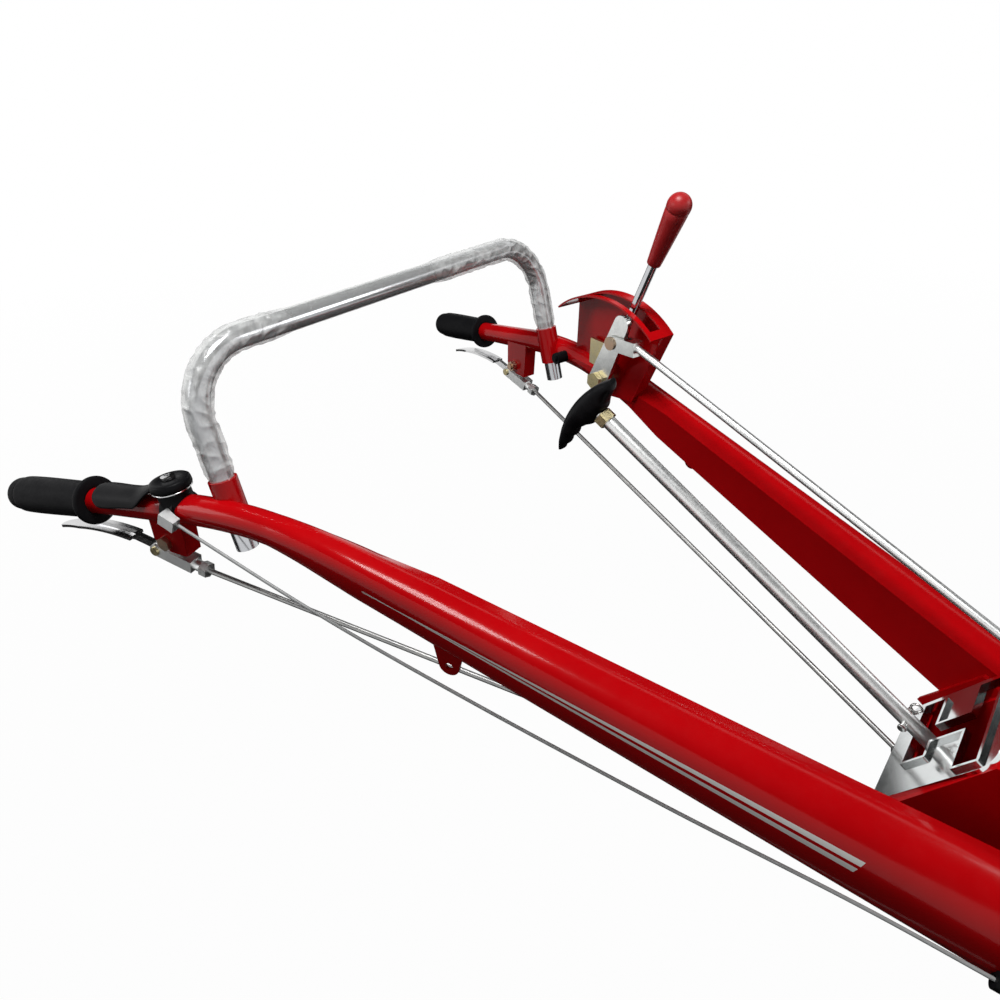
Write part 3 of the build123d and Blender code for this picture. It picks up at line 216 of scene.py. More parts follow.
def buildSettledDust():
    # upward faces, broken up by noise, take the dust's colour and lose their gloss
    color, number, vector = "NodeSocketColor", "NodeSocketFloat", "NodeSocketVector"
    group, given, result = newGroup(
        "settledDust",
        [("Place", vector, (0, 0, 0)), ("Colour", color, (0.5, 0.5, 0.5, 1)), ("Roughness", number, 0.3),
         ("Dust", color, (0.55, 0.52, 0.48, 1)), ("Amount", number, 0.1)],
        [("Colour", color), ("Roughness", number)],
    )
    link = group.links.new
    facing = addNode(group, "ShaderNodeNewGeometry")
    split = addNode(group, "ShaderNodeSeparateXYZ")
    upward = addNode(group, "ShaderNodeMapRange", values={"From Min": 0.1, "From Max": 1.0})
    flecks = addNode(group, "ShaderNodeTexNoise", values={"Scale": 60.0, "Detail": 6.0, "Roughness": 0.7})
    patch = addNode(group, "ShaderNodeMapRange", values={"From Min": 0.45, "From Max": 0.75})
    both = addNode(group, "ShaderNodeMath", {"operation": "MULTIPLY"})
    share = addNode(group, "ShaderNodeMath", {"operation": "MULTIPLY", "use_clamp": True})
    tint = addNode(group, "ShaderNodeMix", {"data_type": "RGBA"})
    dull = addNode(group, "ShaderNodeMix", {"data_type": "FLOAT"}, {"B": 0.8})
    link(facing.outputs["Normal"], split.inputs[0])
    link(split.outputs["Z"], upward.inputs["Value"])
    link(given.outputs["Place"], flecks.inputs["Vector"])
    link(flecks.outputs["Fac"], patch.inputs["Value"])
    link(upward.outputs["Result"], both.inputs[0])
    link(patch.outputs["Result"], both.inputs[1])
    link(both.outputs[0], share.inputs[0])
    link(given.outputs["Amount"], share.inputs[1])
    link(share.outputs[0], tint.inputs["Factor"])
    link(given.outputs["Colour"], tint.inputs["A"])
    link(given.outputs["Dust"], tint.inputs["B"])
    link(share.outputs[0], dull.inputs["Factor"])
    link(given.outputs["Roughness"], dull.inputs["A"])
    link(tint.outputs["Result"], result.inputs["Colour"])
    link(dull.outputs["Result"], result.inputs["Roughness"])
    return group


finishGrain = buildFinishGrain()
settledDust = buildSettledDust()

# every finish: two tones, roughness from and to, and how the pattern runs
finishes = {
    "redLacquer": {"tone": (0.50, 0.002, 0.004), "second": (0.44, 0.001, 0.003), "rough": (0.14, 0.20),
                   "coat": 0.06, "gloss": 0.16, "broad": 9, "fine": 70, "bump": 0.001, "dust": 0.004},
    "chromePlate": {"tone": (0.60, 0.61, 0.63), "second": (0.52, 0.53, 0.55), "rough": (0.12, 0.20),
                    "metal": 1, "broad": 14, "fine": 300, "bump": 0.002, "dust": 0.02},
    "gateZinc": {"tone": (0.78, 0.80, 0.80), "second": (0.72, 0.74, 0.74), "rough": (0.11, 0.15), "metal": 1,
                 "broad": 12, "fine": 90, "bump": 0.0, "dust": 0.01},
    "zincPlate": {"tone": (0.80, 0.81, 0.79), "second": (0.66, 0.67, 0.66), "rough": (0.18, 0.26), "metal": 1,
                  "broad": 60, "fine": 300, "bump": 0.0, "dust": 0.01},
    "rodZinc": {"tone": (0.42, 0.42, 0.41), "second": (0.32, 0.32, 0.32), "rough": (0.40, 0.50), "metal": 1,
                "broad": 60, "fine": 300, "bump": 0.0, "dust": 0.0},
    "paleZinc": {"tone": (0.86, 0.87, 0.86), "second": (0.76, 0.77, 0.77), "rough": (0.36, 0.46), "metal": 1,
                 "broad": 40, "fine": 300, "bump": 0.0, "dust": 0.0},
    "brightSteel": {"tone": (0.66, 0.66, 0.66), "second": (0.55, 0.55, 0.56), "rough": (0.12, 0.22),
                    "metal": 1, "broad": 40, "fine": 300, "bump": 0.002, "dust": 0.02},
    "yellowZinc": {"tone": (0.62, 0.52, 0.26), "second": (0.50, 0.44, 0.28), "rough": (0.24, 0.40),
                   "metal": 1, "broad": 70, "fine": 500, "bump": 0.02, "dust": 0.02},
    "copperWash": {"tone": (0.55, 0.36, 0.25), "second": (0.44, 0.35, 0.26), "rough": (0.25, 0.42),
                   "metal": 1, "broad": 90, "fine": 500, "bump": 0.02, "dust": 0.02},
    "gripRubber": {"tone": (0.006, 0.006, 0.007), "second": (0.010, 0.010, 0.011), "rough": (0.44, 0.60),
                   "gloss": 0.05, "broad": 40, "fine": 1300, "bump": 0.10, "dust": 0.004},
    "blackMoulding": {"tone": (0.006, 0.006, 0.007), "second": (0.010, 0.010, 0.011), "rough": (0.32, 0.44),
                      "gloss": 0.06, "broad": 50, "fine": 1500, "bump": 0.05, "dust": 0.006},
    "redMoulding": {"tone": (0.46, 0.018, 0.020), "second": (0.40, 0.013, 0.015), "rough": (0.30, 0.42),
                    "gloss": 0.35, "broad": 40, "fine": 1200, "bump": 0.03, "dust": 0.02},
    "greySheath": {"tone": (0.40, 0.41, 0.41), "second": (0.33, 0.34, 0.34), "rough": (0.32, 0.46),
                   "broad": 80, "fine": 1200, "bump": 0.04, "dust": 0.0},
}


def makeFinish(name, look):
    finish = bpy.data.materials.new(name)
    finish.use_nodes = True
    tree = finish.node_tree
    shader = tree.nodes["Principled BSDF"]
    link = tree.links.new
    place = addNode(tree, "ShaderNodeTexCoord")
    grain = addNode(tree, "ShaderNodeGroup", {"node_tree": finishGrain})
    dust = addNode(tree, "ShaderNodeGroup", {"node_tree": settledDust})
    bump = addNode(tree, "ShaderNodeBump", values={"Strength": look["bump"], "Distance": 0.0006})
    grain.inputs["Tone"].default_value = (*look["tone"], 1)
    grain.inputs["Second Tone"].default_value = (*look["second"], 1)
    grain.inputs["Broad Scale"].default_value = look["broad"]
    grain.inputs["Fine Scale"].default_value = look["fine"]
    grain.inputs["Rough Low"].default_value, grain.inputs["Rough High"].default_value = look["rough"]
    dust.inputs["Amount"].default_value = look["dust"]
    shader.inputs["Metallic"].default_value = look.get("metal", 0)
    shader.inputs["Specular IOR Level"].default_value = look.get("gloss", 0.5)
    shader.inputs["Coat Weight"].default_value = look.get("coat", 0)
    shader.inputs["Coat Roughness"].default_value = 0.06
    for group in (grain, dust):
        link(place.outputs["Object"], group.inputs["Place"])
    link(grain.outputs["Colour"], dust.inputs["Colour"])
    link(grain.outputs["Roughness"], dust.inputs["Roughness"])
    link(grain.outputs["Height"], bump.inputs["Height"])
    link(dust.outputs["Colour"], shader.inputs["Base Color"])
    link(dust.outputs["Roughness"], shader.inputs["Roughness"])
    link(bump.outputs["Normal"], shader.inputs["Normal"])
    return finish


made = {name: makeFinish(name, look) for name, look in finishes.items()}

# two pale stripes printed on the outer side of each arm, widening to the front
stripes = {
    "ends": (0.430, 0.812),             # along the arm
    "low": (-0.0004, 0.0140, 0.0120),   # over the centre line: at the rear, by length, by length squared
    "high": (-0.0015, 0.0530, -0.0346),
    "half": (0.0003, 0.0050),           # half width at the rear end, and growth with length
    "tone": (0.86, 0.84, 0.81, 1),
    "line": (0.25518, 0.3247, 0.26048),     # arm's centre line: height at the bend, the bend, fall
    "slant": 0.45,                      # of the front ends
    "outer": 0.012,                     # painted only this far out from the centre line
}


def stripedLacquer(look):
    # the arm's own along, outward and height come from the object's place by sums and products
    finish = makeFinish("stripedLacquer", finishes["redLacquer"])
    tree = finish.node_tree
    link = tree.links.new
    shader = tree.nodes["Principled BSDF"]

    def combine(operation, a, b, clamp=False):
        node = addNode(tree, "ShaderNodeMath", {"operation": operation, "use_clamp": clamp})
        for index, value in enumerate((a, b)):
            if isinstance(value, (int, float)):
                node.inputs[index].default_value = value
            elif value is not None:
                link(value, node.inputs[index])
        return node.outputs[0]

    split = addNode(tree, "ShaderNodeSeparateXYZ")
    place = addNode(tree, "ShaderNodeTexCoord")
    link(place.outputs["Object"], split.inputs[0])
    c, s = math.cos(armLay["toe"]), math.sin(armLay["toe"])
    x = combine("SUBTRACT", split.outputs["X"], armLay["rear"][0])
    y = combine("SUBTRACT", combine("ABSOLUTE", split.outputs["Y"], None), armLay["rear"][1])
    along = combine("SUBTRACT", combine("MULTIPLY", x, c), combine("MULTIPLY", y, s))
    outward = combine("ADD", combine("MULTIPLY", x, s), combine("MULTIPLY", y, c))
    top, bend, fall = look["line"]
    centre = combine("SUBTRACT", top, combine("MULTIPLY", combine("SUBTRACT", along, bend), fall))
    height = combine("SUBTRACT", split.outputs["Z"], centre)
    run = combine("SUBTRACT", along, look["ends"][0])
    half = combine("ADD", combine("MULTIPLY", run, look["half"][1]), look["half"][0])
    front = combine("ADD", combine("MULTIPLY", height, look["slant"]), look["ends"][1])
    within = combine("MULTIPLY", combine("GREATER_THAN", run, 0), combine("LESS_THAN", along, front))
    within = combine("MULTIPLY", within, combine("GREATER_THAN", outward, look["outer"]))
    mask = 0.0
    for key in ("low", "high"):
        start, rise, bow = look[key]
        climb = combine("ADD", combine("MULTIPLY", run, bow), rise)
        line = combine("ADD", combine("MULTIPLY", run, climb), start)
        off = combine("ABSOLUTE", combine("SUBTRACT", height, line), None)
        mask = combine("ADD", combine("LESS_THAN", off, half), mask)
    mask = combine("MULTIPLY", mask, within, True)
    printed = addNode(tree, "ShaderNodeMix", {"data_type": "RGBA"}, {"B": look["tone"]})
    paint = shader.inputs["Base Color"].links[0].from_socket
    link(mask, printed.inputs["Factor"])
    link(paint, printed.inputs["A"])
    link(printed.outputs["Result"], shader.inputs["Base Color"])
    return finish


made["stripedLacquer"] = stripedLacquer(stripes)


# clear wrapping film: thin where it is tight, whiter and creased where it is loose
filmLook = {"tone": (0.82, 0.83, 0.82, 1), "tight": 0.26, "loose": 0.38, "crease": 0.62, "scale": 42.0}


def wrapFilm(look):
    finish = bpy.data.materials.new("wrapFilm")
    finish.use_nodes = True
    tree = finish.node_tree
    link = tree.links.new
    shader = tree.nodes["Principled BSDF"]
    place = addNode(tree, "ShaderNodeTexCoord")
    slack = addNode(tree, "ShaderNodeAttribute", {"attribute_name": "slack"})
    warp = addNode(tree, "ShaderNodeTexNoise",
                   values={"Scale": look["scale"], "Detail": 7.0, "Distortion": 2.2})
    ridges = {"From Min": 0.44, "From Max": 0.66, "To Min": look["loose"], "To Max": look["crease"]}
    crease = addNode(tree, "ShaderNodeMapRange", values=ridges)
    veil = addNode(tree, "ShaderNodeMix", {"data_type": "FLOAT"}, {"A": look["tight"]})
    rough = addNode(tree, "ShaderNodeMapRange", values={"To Min": 0.10, "To Max": 0.32})
    bump = addNode(tree, "ShaderNodeBump", values={"Strength": 0.6, "Distance": 0.0012})
    link(place.outputs["Object"], warp.inputs["Vector"])
    for target, socket in ((crease, "Value"), (rough, "Value"), (bump, "Height")):
        link(warp.outputs["Fac"], target.inputs[socket])
    link(slack.outputs["Fac"], veil.inputs["Factor"])
    link(crease.outputs["Result"], veil.inputs["B"])
    link(veil.outputs["Result"], shader.inputs["Alpha"])
    link(rough.outputs["Result"], shader.inputs["Roughness"])
    link(bump.outputs["Normal"], shader.inputs["Normal"])
    shader.inputs["Base Color"].default_value = look["tone"]
    return finish


made["wrapFilm"] = wrapFilm(filmLook)
print("finishes made:", len(made))

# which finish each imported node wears; a pair is named once
wears = {
    "stripedLacquer": ["arm"],
    "redLacquer": ["socket", "hanger", "cable_ear", "cheek", "quadrant", "base_flange", "base_tower"],
    "chromePlate": ["cross_bar", "clutch_stem"],
    "paleZinc": ["gear_stem", "clutch_rod", "rod_fork", "cable_stop"],
    "gateZinc": ["gate_plate"],
    "rodZinc": ["steer_rod"],
    "zincPlate": ["clutch_plate", "clutch_fork", "gear_pin"],
    "brightSteel": ["steer_lever"],
    "yellowZinc": ["rod_pin", "gear_nut", "lever_strap", "clutch_bolt"],
    "copperWash": ["lever_bolt", "clutch_pin"],
    "blackMoulding": ["stop_switch", "throttle_housing", "throttle_thumb", "cable_clip", "gear_knob"],
    "gripRubber": ["grip"],
    "redMoulding": ["clutch_knob"],
    "greySheath": ["throttle_cable"],
}
for finishName, roots in wears.items():
    for name, node in nodes.items():
        root = name.removesuffix("_left").removesuffix("_right")
        if root in roots:
            node.data.materials.clear()
            node.data.materials.append(made[finishName])
print("nodes dressed")

# throttle cable: the route's points, along, outward and up in metres, as one smooth spline
cable = {
    "route": [(0.240, 0.0195, 0.235), (0.297, 0.019, 0.212), (0.361, 0.019, 0.188), (0.430, 0.020, 0.167),
              (0.500, 0.022, 0.150), (0.568, 0.025, 0.136), (0.636, 0.0285, 0.124), (0.702, 0.033, 0.114),
              (0.766, 0.038, 0.108), (0.826, 0.0435, 0.103), (0.878, 0.0485, 0.096), (0.922, 0.052, 0.088)],
    "radius": 0.0015,
    "length": 0.702,
}


def layCable(lead):
    points = armPoint(*np.array(lead["route"]).T, -1)
    curve = bpy.data.curves.new("throttleCable", "CURVE")
    curve.dimensions = "3D"
    spline = curve.splines.new("NURBS")
    spline.points.add(len(points) - 1)
    spline.points.foreach_set("co", np.column_stack([points, np.ones(len(points))]).ravel())
    spline.order_u = 3
    spline.use_endpoint_u = True
    spline.resolution_u = 10
    curve.bevel_depth = lead["radius"]
    curve.bevel_resolution = 5
    curve.use_fill_caps = True
    piece = bpy.data.objects.new("throttleCable", curve)
    scene.collection.objects.link(piece)
    curve.materials.append(made["greySheath"])
    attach(piece, "frame")
    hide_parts("throttle_cable")


layCable(cable)
print("cable laid")

# the two arms: round under the grip and through the bend, then pressed wider and deeper to the base
armForm = {
    "ends": (0.005, 1.0),
    "bend": (0.2262, 0.42164, 0.450),           # from, to, radius
    "rearUp": 0.195,
    "frontSlope": math.radians(14.6),
    # by length along the arm: radius, middle of the round side, half height of the inner wall,
    # reach from the centre line outward and down, power of the outer side's curve
    "round": [(0, 0.0125), (0.121, 0.0125), (0.226, 0.014), (0.330, 0.014), (0.47564, 0.020), (1.0, 0.040)],
    "middle": [(0, 0), (0.330, 0), (0.47564, 0.0015), (1.0, 0.013)],
    "wall": [(0, 0.0008), (0.300, 0.0008), (0.42164, 0.008), (0.47564, 0.015), (1.0, 0.032)],
    "reach": [(0.322, 0.014), (0.405, 0.0248), (1.0, 0.0497)],
    "square": [(0.330, 2.0), (0.420, 2.7), (0.700, 2.5), (1.0, 2.1)],
    "tilt": (0.76, 0.65),                       # outward and down shares of that reach
    "pressedFrom": 0.3,
    "smooth": 13,                               # rows that the change of reach is evened over
    "innerWall": 0.014,
    "sheet": 0.0035,
    "inside": 0.55,                             # how far back the open front shows
    "rows": (280, 40),                          # outside, inside
}


def armCentre(form, h):
    # rising straight, an arc over the bend, falling straight: height and slope at each place along
    start, end, radius = form["bend"]
    rise = armLay["gripSlope"]
    crest = start + radius * math.sin(rise)
    slope = np.arcsin(np.clip((crest - h) / radius, -math.sin(form["frontSlope"]), math.sin(rise)))
    startUp = form["rearUp"] + start * math.tan(rise)
    onArc = np.clip(h, start, end)
    arc = startUp + np.sqrt(radius ** 2 - (onArc - crest) ** 2) - radius * math.cos(rise)
    before, after = np.minimum(h - start, 0), np.maximum(h - end, 0)
    return arc + before * math.tan(rise) - after * math.tan(form["frontSlope"]), slope


def armSection(form, h, inset):
    # flat inner wall, tangents from its ends to the outer side, a superellipse with its lower half drawn down
    size, middle, wall, power, reach = (np.interp(h, *np.array(form[key]).T)
                                        for key in ("round", "middle", "wall", "square", "reach"))
    out, down = form["tilt"]
    smooth = form["smooth"]
    dual = power / (power - 1)
    stretch = (out ** dual + down ** dual) ** (1 / dual)
    spare = np.maximum(reach - (out * middle + size * stretch), 0) * (h > form["pressedFrom"])
    spare = np.convolve(np.pad(spare, smooth // 2, "edge"), np.ones(smooth) / smooth, "valid")
    middle, deeper = middle + 0.5 * spare / out, 0.5 * spare / down
    inner = -np.minimum(size, form["innerWall"]) + inset
    size, wall = size - inset, np.maximum(wall - inset, 0.0004)
    span = np.hypot(middle - inner, wall)
    touch = np.arctan2(wall, inner - middle) - np.arccos(np.clip(size / span, -1, 1))
    turn = touch[:, None] * np.linspace(1, -1, 45)
    bend = np.where(np.cos(turn) > 0, 2 / power[:, None], 1)
    arcB = middle[:, None] + size[:, None] * signedPower(np.cos(turn), bend)
    arcV = size[:, None] * signedPower(np.sin(turn), bend)
    run = np.linspace(0, 1, 8)[1:-1]
    topB = inner[:, None] + (arcB[:, :1] - inner[:, None]) * run
    topV = wall[:, None] + (arcV[:, :1] - wall[:, None]) * run
    backV = wall[:, None] * np.linspace(-1, 1, 9)
    b = np.concatenate([np.broadcast_to(inner[:, None], backV.shape), topB, arcB, topB[:, ::-1]], 1)
    v = np.concatenate([backV, topV, arcV, -topV[:, ::-1]], 1)
    return b, np.where(v < 0, v * (1 + deeper / size)[:, None], v)


def makeArm(side, label):
    form = armForm
    start, end = form["ends"]
    outerRows, innerRows = form["rows"]
    outer = np.linspace(start, end, outerRows)
    inner = np.linspace(end, form["inside"], innerRows)
    skins = armSection(form, outer, 0), armSection(form, inner, form["sheet"])
    b, v = (np.concatenate(pair) for pair in zip(*skins))
    h = np.concatenate([outer, inner])
    b, v, h = (np.concatenate([row[:1], row, row[-1:]]) for row in (b, v, h))
    b[[0, -1]] = v[[0, -1]] = 0
    up, slope = armCentre(form, h)
    along, height = h[:, None] - v * np.sin(slope)[:, None], up[:, None] + v * np.cos(slope)[:, None]
    points = armPoint(along, b, height, side)
    piece = makePiece("arm" + label, points, made["stripedLacquer"], "frame", (True, True), crease=28)
    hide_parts("arm_" + label.lower())


for side, label in ((1, "Left"), (-1, "Right")):
    makeArm(side, label)
print("arms made")

# rubber grips: a swelling barrel with a stepped end cap and a rounded flange
gripForm = {
    "line": [(0, 0), (0, 0.0128), (0.0012, 0.0146), (0.004, 0.0163), (0.0112, 0.0166), (0.0122, 0.0167),
             (0.0132, 0.0162), (0.0142, 0.0174), (0.0165, 0.0182), (0.030, 0.0185), (0.050, 0.0185),
             (0.080, 0.0180), (0.108, 0.0175), (0.1118, 0.0180), (0.1130, 0.0205), (0.1133, 0.0229),
             (0.1141, 0.0235), (0.1164, 0.0235), (0.1176, 0.0229), (0.1180, 0.0215), (0.1180, 0.0142),
             (0.1172, 0.01256)],
    "bore": [(0.0040, 0.01256), (0.0040, 0)],
    "up": 0.195,
}


def makeGrip(side, label):
    form = gripForm
    line = np.concatenate([softened(form["line"], 2), form["bore"]])
    slope = armLay["gripSlope"]
    axis = armWay(math.cos(slope), 0, math.sin(slope), side)
    points = turnedShape(line, armPoint(0, 0, form["up"], side), axis, 96)
    piece = makePiece("grip" + label, points, made["gripRubber"], "frame", (True, True))
    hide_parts("grip_" + label.lower())


for side, label in ((1, "Left"), (-1, "Right")):
    makeGrip(side, label)
print("grips made")

# clutch hand knob: a tapered barrel with a parting line under its domed end
clutchKnob = {
    "line": [(0.158, 0), (0.158, 0.0066), (0.1586, 0.0074), (0.160, 0.0077), (0.190, 0.0100),
             (0.2180, 0.0120), (0.2188, 0.0117), (0.2196, 0.0117), (0.2206, 0.0122), (0.2246, 0.0124)],
    "dome": (0.2246, 0.0124),           # centre along the lever, radius
    "pivot": (0.388, -0.0235, 0.24503),
    "lean": math.radians(21.8),
}


def makeClutchKnob(form):
    centre, radius = form["dome"]
    turn = np.linspace(0, np.pi / 2, 16)[1:]
    dome = np.column_stack([centre + radius * np.sin(turn), radius * np.cos(turn)])
    line = np.concatenate([softened(form["line"], 1), dome])
    axis = armWay(math.sin(form["lean"]), 0, math.cos(form["lean"]), 1)
    points = turnedShape(line, armPoint(*form["pivot"], 1), axis, 72)
    piece = makePiece("clutchHandKnob", points, made["redMoulding"], "clutch", (True, True))
    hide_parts("clutch_knob")


makeClutchKnob(clutchKnob)
print("clutch knob made")

# gear hand knob: rounded sections from the upper lobe down to the wing's tip
gearKnob = {
    "seat": (-0.0262548, 0.008, 0.0413379),     # cross pin of the lever
    "slope": math.radians(30.3),
    "reach": 0.526,
    "span": (0.0365, -0.0655),                  # upper end and lower end, across the lever
    "front": [(-0.0655, 0.0125), (-0.063, 0.0096), (-0.058, 0.0082), (-0.0545, 0.0104), (-0.050, 0.0076),
              (-0.045, 0.0080), (-0.0415, 0.0106), (-0.037, 0.0070), (-0.032, 0.0074), (-0.0285, 0.0098),
              (-0.023, 0.0066), (-0.018, 0.0048), (-0.013, 0.0010), (-0.011, 0.0002), (0.011, 0.0002),
              (0.014, 0.0026), (0.020, 0.0045), (0.028, 0.0050), (0.033, 0.0078), (0.0365, 0.0120)],
    "wide": [(-0.0655, 0.0046), (-0.050, 0.0066), (-0.030, 0.0090), (-0.012, 0.0115), (0.0, 0.0120),
             (0.014, 0.0110), (0.028, 0.0095), (0.0365, 0.0080)],
    "back": (0.0262, 0.0132, -0.0145, 0.0505),  # crown, fall at the ends, middle, half span
    "square": 2.4,
}


def makeGearKnob(form):
    # at each height a rounded rectangle between the front line and the back's bow, closing at both ends
    upper, lower = form["span"]
    share = np.sin(np.linspace(-1, 1, 161) * np.pi / 2)
    height = (upper + lower) / 2 + share * (upper - lower) / 2
    front = np.interp(height, *np.array(form["front"]).T)
    front = np.convolve(np.pad(front, 2, "edge"), np.ones(5) / 5, "valid")
    crown, fall, middle, halfSpan = form["back"]
    back = crown - fall * ((height - middle) / halfSpan) ** 2
    close = np.sqrt(np.clip(1 - np.abs(share) ** 12, 0, 1))
    centre, deep = (front + back) / 2, np.maximum(back - front, 0.002) / 2 * close
    wide = np.interp(height, *np.array(form["wide"]).T) * close
    angle = np.linspace(0, 2 * np.pi, 56, endpoint=False)
    power = 2 / form["square"]
    outward, across = signedPower(np.cos(angle), power), signedPower(np.sin(angle), power)
    c, s = math.cos(form["slope"]), math.sin(form["slope"])
    along, up, aside = np.array([-c, 0, s]), np.array([s, 0, c]), np.array([0.0, 1.0, 0.0])
    seat = np.array(form["seat"]) + form["reach"] * along
    reach = centre[:, None] + deep[:, None] * outward
    points = (seat + reach[..., None] * along + height[:, None, None] * up
              + (wide[:, None] * across)[..., None] * aside)
    piece = makePiece("gearHandKnob", points, made["blackMoulding"], "gear", (True, True))
    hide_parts("gear_knob")


makeGearKnob(gearKnob)
print("gear knob made")

# wrapping film round the cross bar, from one socket's top to the other
film = {
    "foot": (-0.700673, 0.239475, 0.243269),
    "lean": math.radians(14.8),
    "rise": 0.1318,
    "from": 0.0285,         # up the leg, from the arm's centre line
    "bend": 0.060,
    "bar": 0.0100,
    "slack": 0.0019,        # stand-off where the film is loose
    "folds": 0.0019,        # depth of its creases there
    "tight": (0.11, 0.04),  # loose this far along the top, from the left bend and from the right one
    "change": 0.03,         # length over which loose turns to tight
    "least": 0.12,          # slack of the tight part, as a share
    "clear": 0.0004,        # off the bar everywhere
    "ends": 0.008,          # drawn in over this length
    "lap": (0.5, 0.0005),   # angle of the overlap, and its rise
    "waves": 26,
}


def barLine(form, count):
    # up one leg, round a quarter turn, across, round again and down: distance to place and direction
    tall = form["rise"] / math.cos(form["lean"])
    half, bend = form["foot"][1], form["bend"]
    leg = tall - bend - form["from"]
    runs = np.array([leg, bend * np.pi / 2, 2 * (half - bend), bend * np.pi / 2, leg])
    marks = np.concatenate([[0], np.cumsum(runs)])
    d = np.linspace(0, marks[-1], count)
    middle = marks[-1] / 2
    m = np.abs(d - middle)                      # the two halves mirror each other
    flat = half - bend
    turn = np.clip((m - flat) / bend, 0, np.pi / 2)
    down = np.clip(m - flat - bend * np.pi / 2, 0, None)
    aside = np.minimum(m, flat) + bend * np.sin(turn)
    up = tall - bend + bend * np.cos(turn) - down
    side = np.where(d < middle, 1.0, -1.0)
    outY, outUp = side * np.sin(turn), np.cos(turn)
    return d, side * aside, up, outY, outUp


def makeFilm(form):
    d, y, up, outY, outUp = barLine(form, 700)
    overlap, lapRise = form["lap"]
    angle = np.linspace(0, 2 * np.pi + overlap, 72)     # once round, and on over its own first edge
    lap = np.clip((angle - np.pi) / np.pi, 0, 1) * lapRise
    dd, aa = d[:, None], angle[None]
    turned = form["bend"] * np.pi / 2 + form["rise"] / math.cos(form["lean"]) - form["bend"] - form["from"]
    left, right = (turned + run for run in form["tight"])
    atLeft, atRight = (np.clip(run / form["change"] + 0.5, 0, 1) for run in (left - d, d - d[-1] + right))
    slack = np.clip(form["least"] + (atLeft + atRight), 0, 1)
    draw = np.random.default_rng(11)
    folds = np.zeros((len(d), len(angle)))
    for _ in range(form["waves"]):              # crossing waves of many directions, folded to sharp ridges
        along, around, start = draw.uniform(70, 420), draw.integers(-5, 6), draw.uniform(0, 2 * np.pi)
        folds += np.sin(along * dd + around * aa + start) * (120 / along) ** 0.5
    folds = 1 - np.abs(folds) / np.abs(folds).max()
    fade = np.clip(np.minimum(d, d[-1] - d) / form["ends"], 0.15, 1)[:, None]
    standOff = form["slack"] * (0.7 + 0.3 * np.cos(aa - 2.4 - dd * 9))
    loose = slack[:, None] * (standOff + form["folds"] * (folds ** 3 - 0.3))
    radius = form["bar"] + form["clear"] + lap + fade * np.maximum(loose, 0)
    c, s = math.cos(form["lean"]), math.sin(form["lean"])
    legWay, flatWay = np.array([-s, 0, c]), np.array([c, 0, s])
    base = np.array([form["foot"][0], 0, form["foot"][2]])
    centre = base + up[:, None] * legWay + y[:, None] * np.array([0.0, 1.0, 0.0])
    outWay = outY[:, None] * np.array([0.0, 1.0, 0.0]) + outUp[:, None] * legWay
    spoke = np.cos(angle)[None, :, None] * outWay[:, None] + np.sin(angle)[None, :, None] * flatWay
    points = centre[:, None] + radius[..., None] * spoke
    piece = makePiece("barFilm", points, made["wrapFilm"], "frame", aroundClosed=False, crease=180)
    mark = piece.data.attributes.new("slack", "FLOAT", "POINT")
    mark.data.foreach_set("value", np.repeat(slack, len(angle)).astype(np.float32))


makeFilm(film)
print("film wrapped")

# throttle: cap, thumb paddle curved over the tube, bright plate under the cap and its screw
throttle = {
    "at": 0.226,
    "up": 0.23689,
    "plate": [(0.0205, 0.0149), (0.0205, 0.0176), (0.0208, 0.0179), (0.0216, 0.0179), (0.0219, 0.0176),
              (0.0219, 0.0149), (0.0205, 0.0149)],
    "cap": [(0.0223, 0.0043), (0.0223, 0.0172), (0.0226, 0.0182), (0.0234, 0.0185), (0.0272, 0.0184),
            (0.0290, 0.0179), (0.0300, 0.0166), (0.0303, 0.0148), (0.0303, 0.0076), (0.0299, 0.0070),
            (0.0299, 0.0043), (0.0223, 0.0043)],
    "screw": (0.0061, 0.0306, 0.0341, 0.0009, 0.0007),  # radius, underside, crown, its fall, cross's depth
    "cross": (0.00075, 0.0032),                     # half width and reach of the cross
    "paddle": (-0.095, -0.009),                     # rear end and root, from the post
    "ring": (0.01925, 0.0240, 0.0018),              # middle radius over the tube, at the root, half thickness
    "spread": (32.0, 3.0, 45.0, 19.0),      # middle angle from the top, at the root, half spread, at the root
    "rootFrom": (0.62, 0.97),               # shares of the length over which the paddle turns to its root
    "waist": (0.14, 0.2, 0.55),             # narrowing, and the shares over which it comes
    "tip": 0.16,                            # share of the length that rounds off
    "square": 0.7,
}


def throttleWays(form):
    slope = armLay["gripSlope"]
    along = armWay(math.cos(slope), 0, math.sin(slope), -1)
    up = armWay(-math.sin(slope), 0, math.cos(slope), -1)
    return armPoint(form["at"], 0, form["up"], -1), along, up, armWay(0, 1, 0, -1)


def eased(share, start, end):
    q = np.clip((share - start) / (end - start), 0, 1)
    return q * q * (3 - 2 * q)


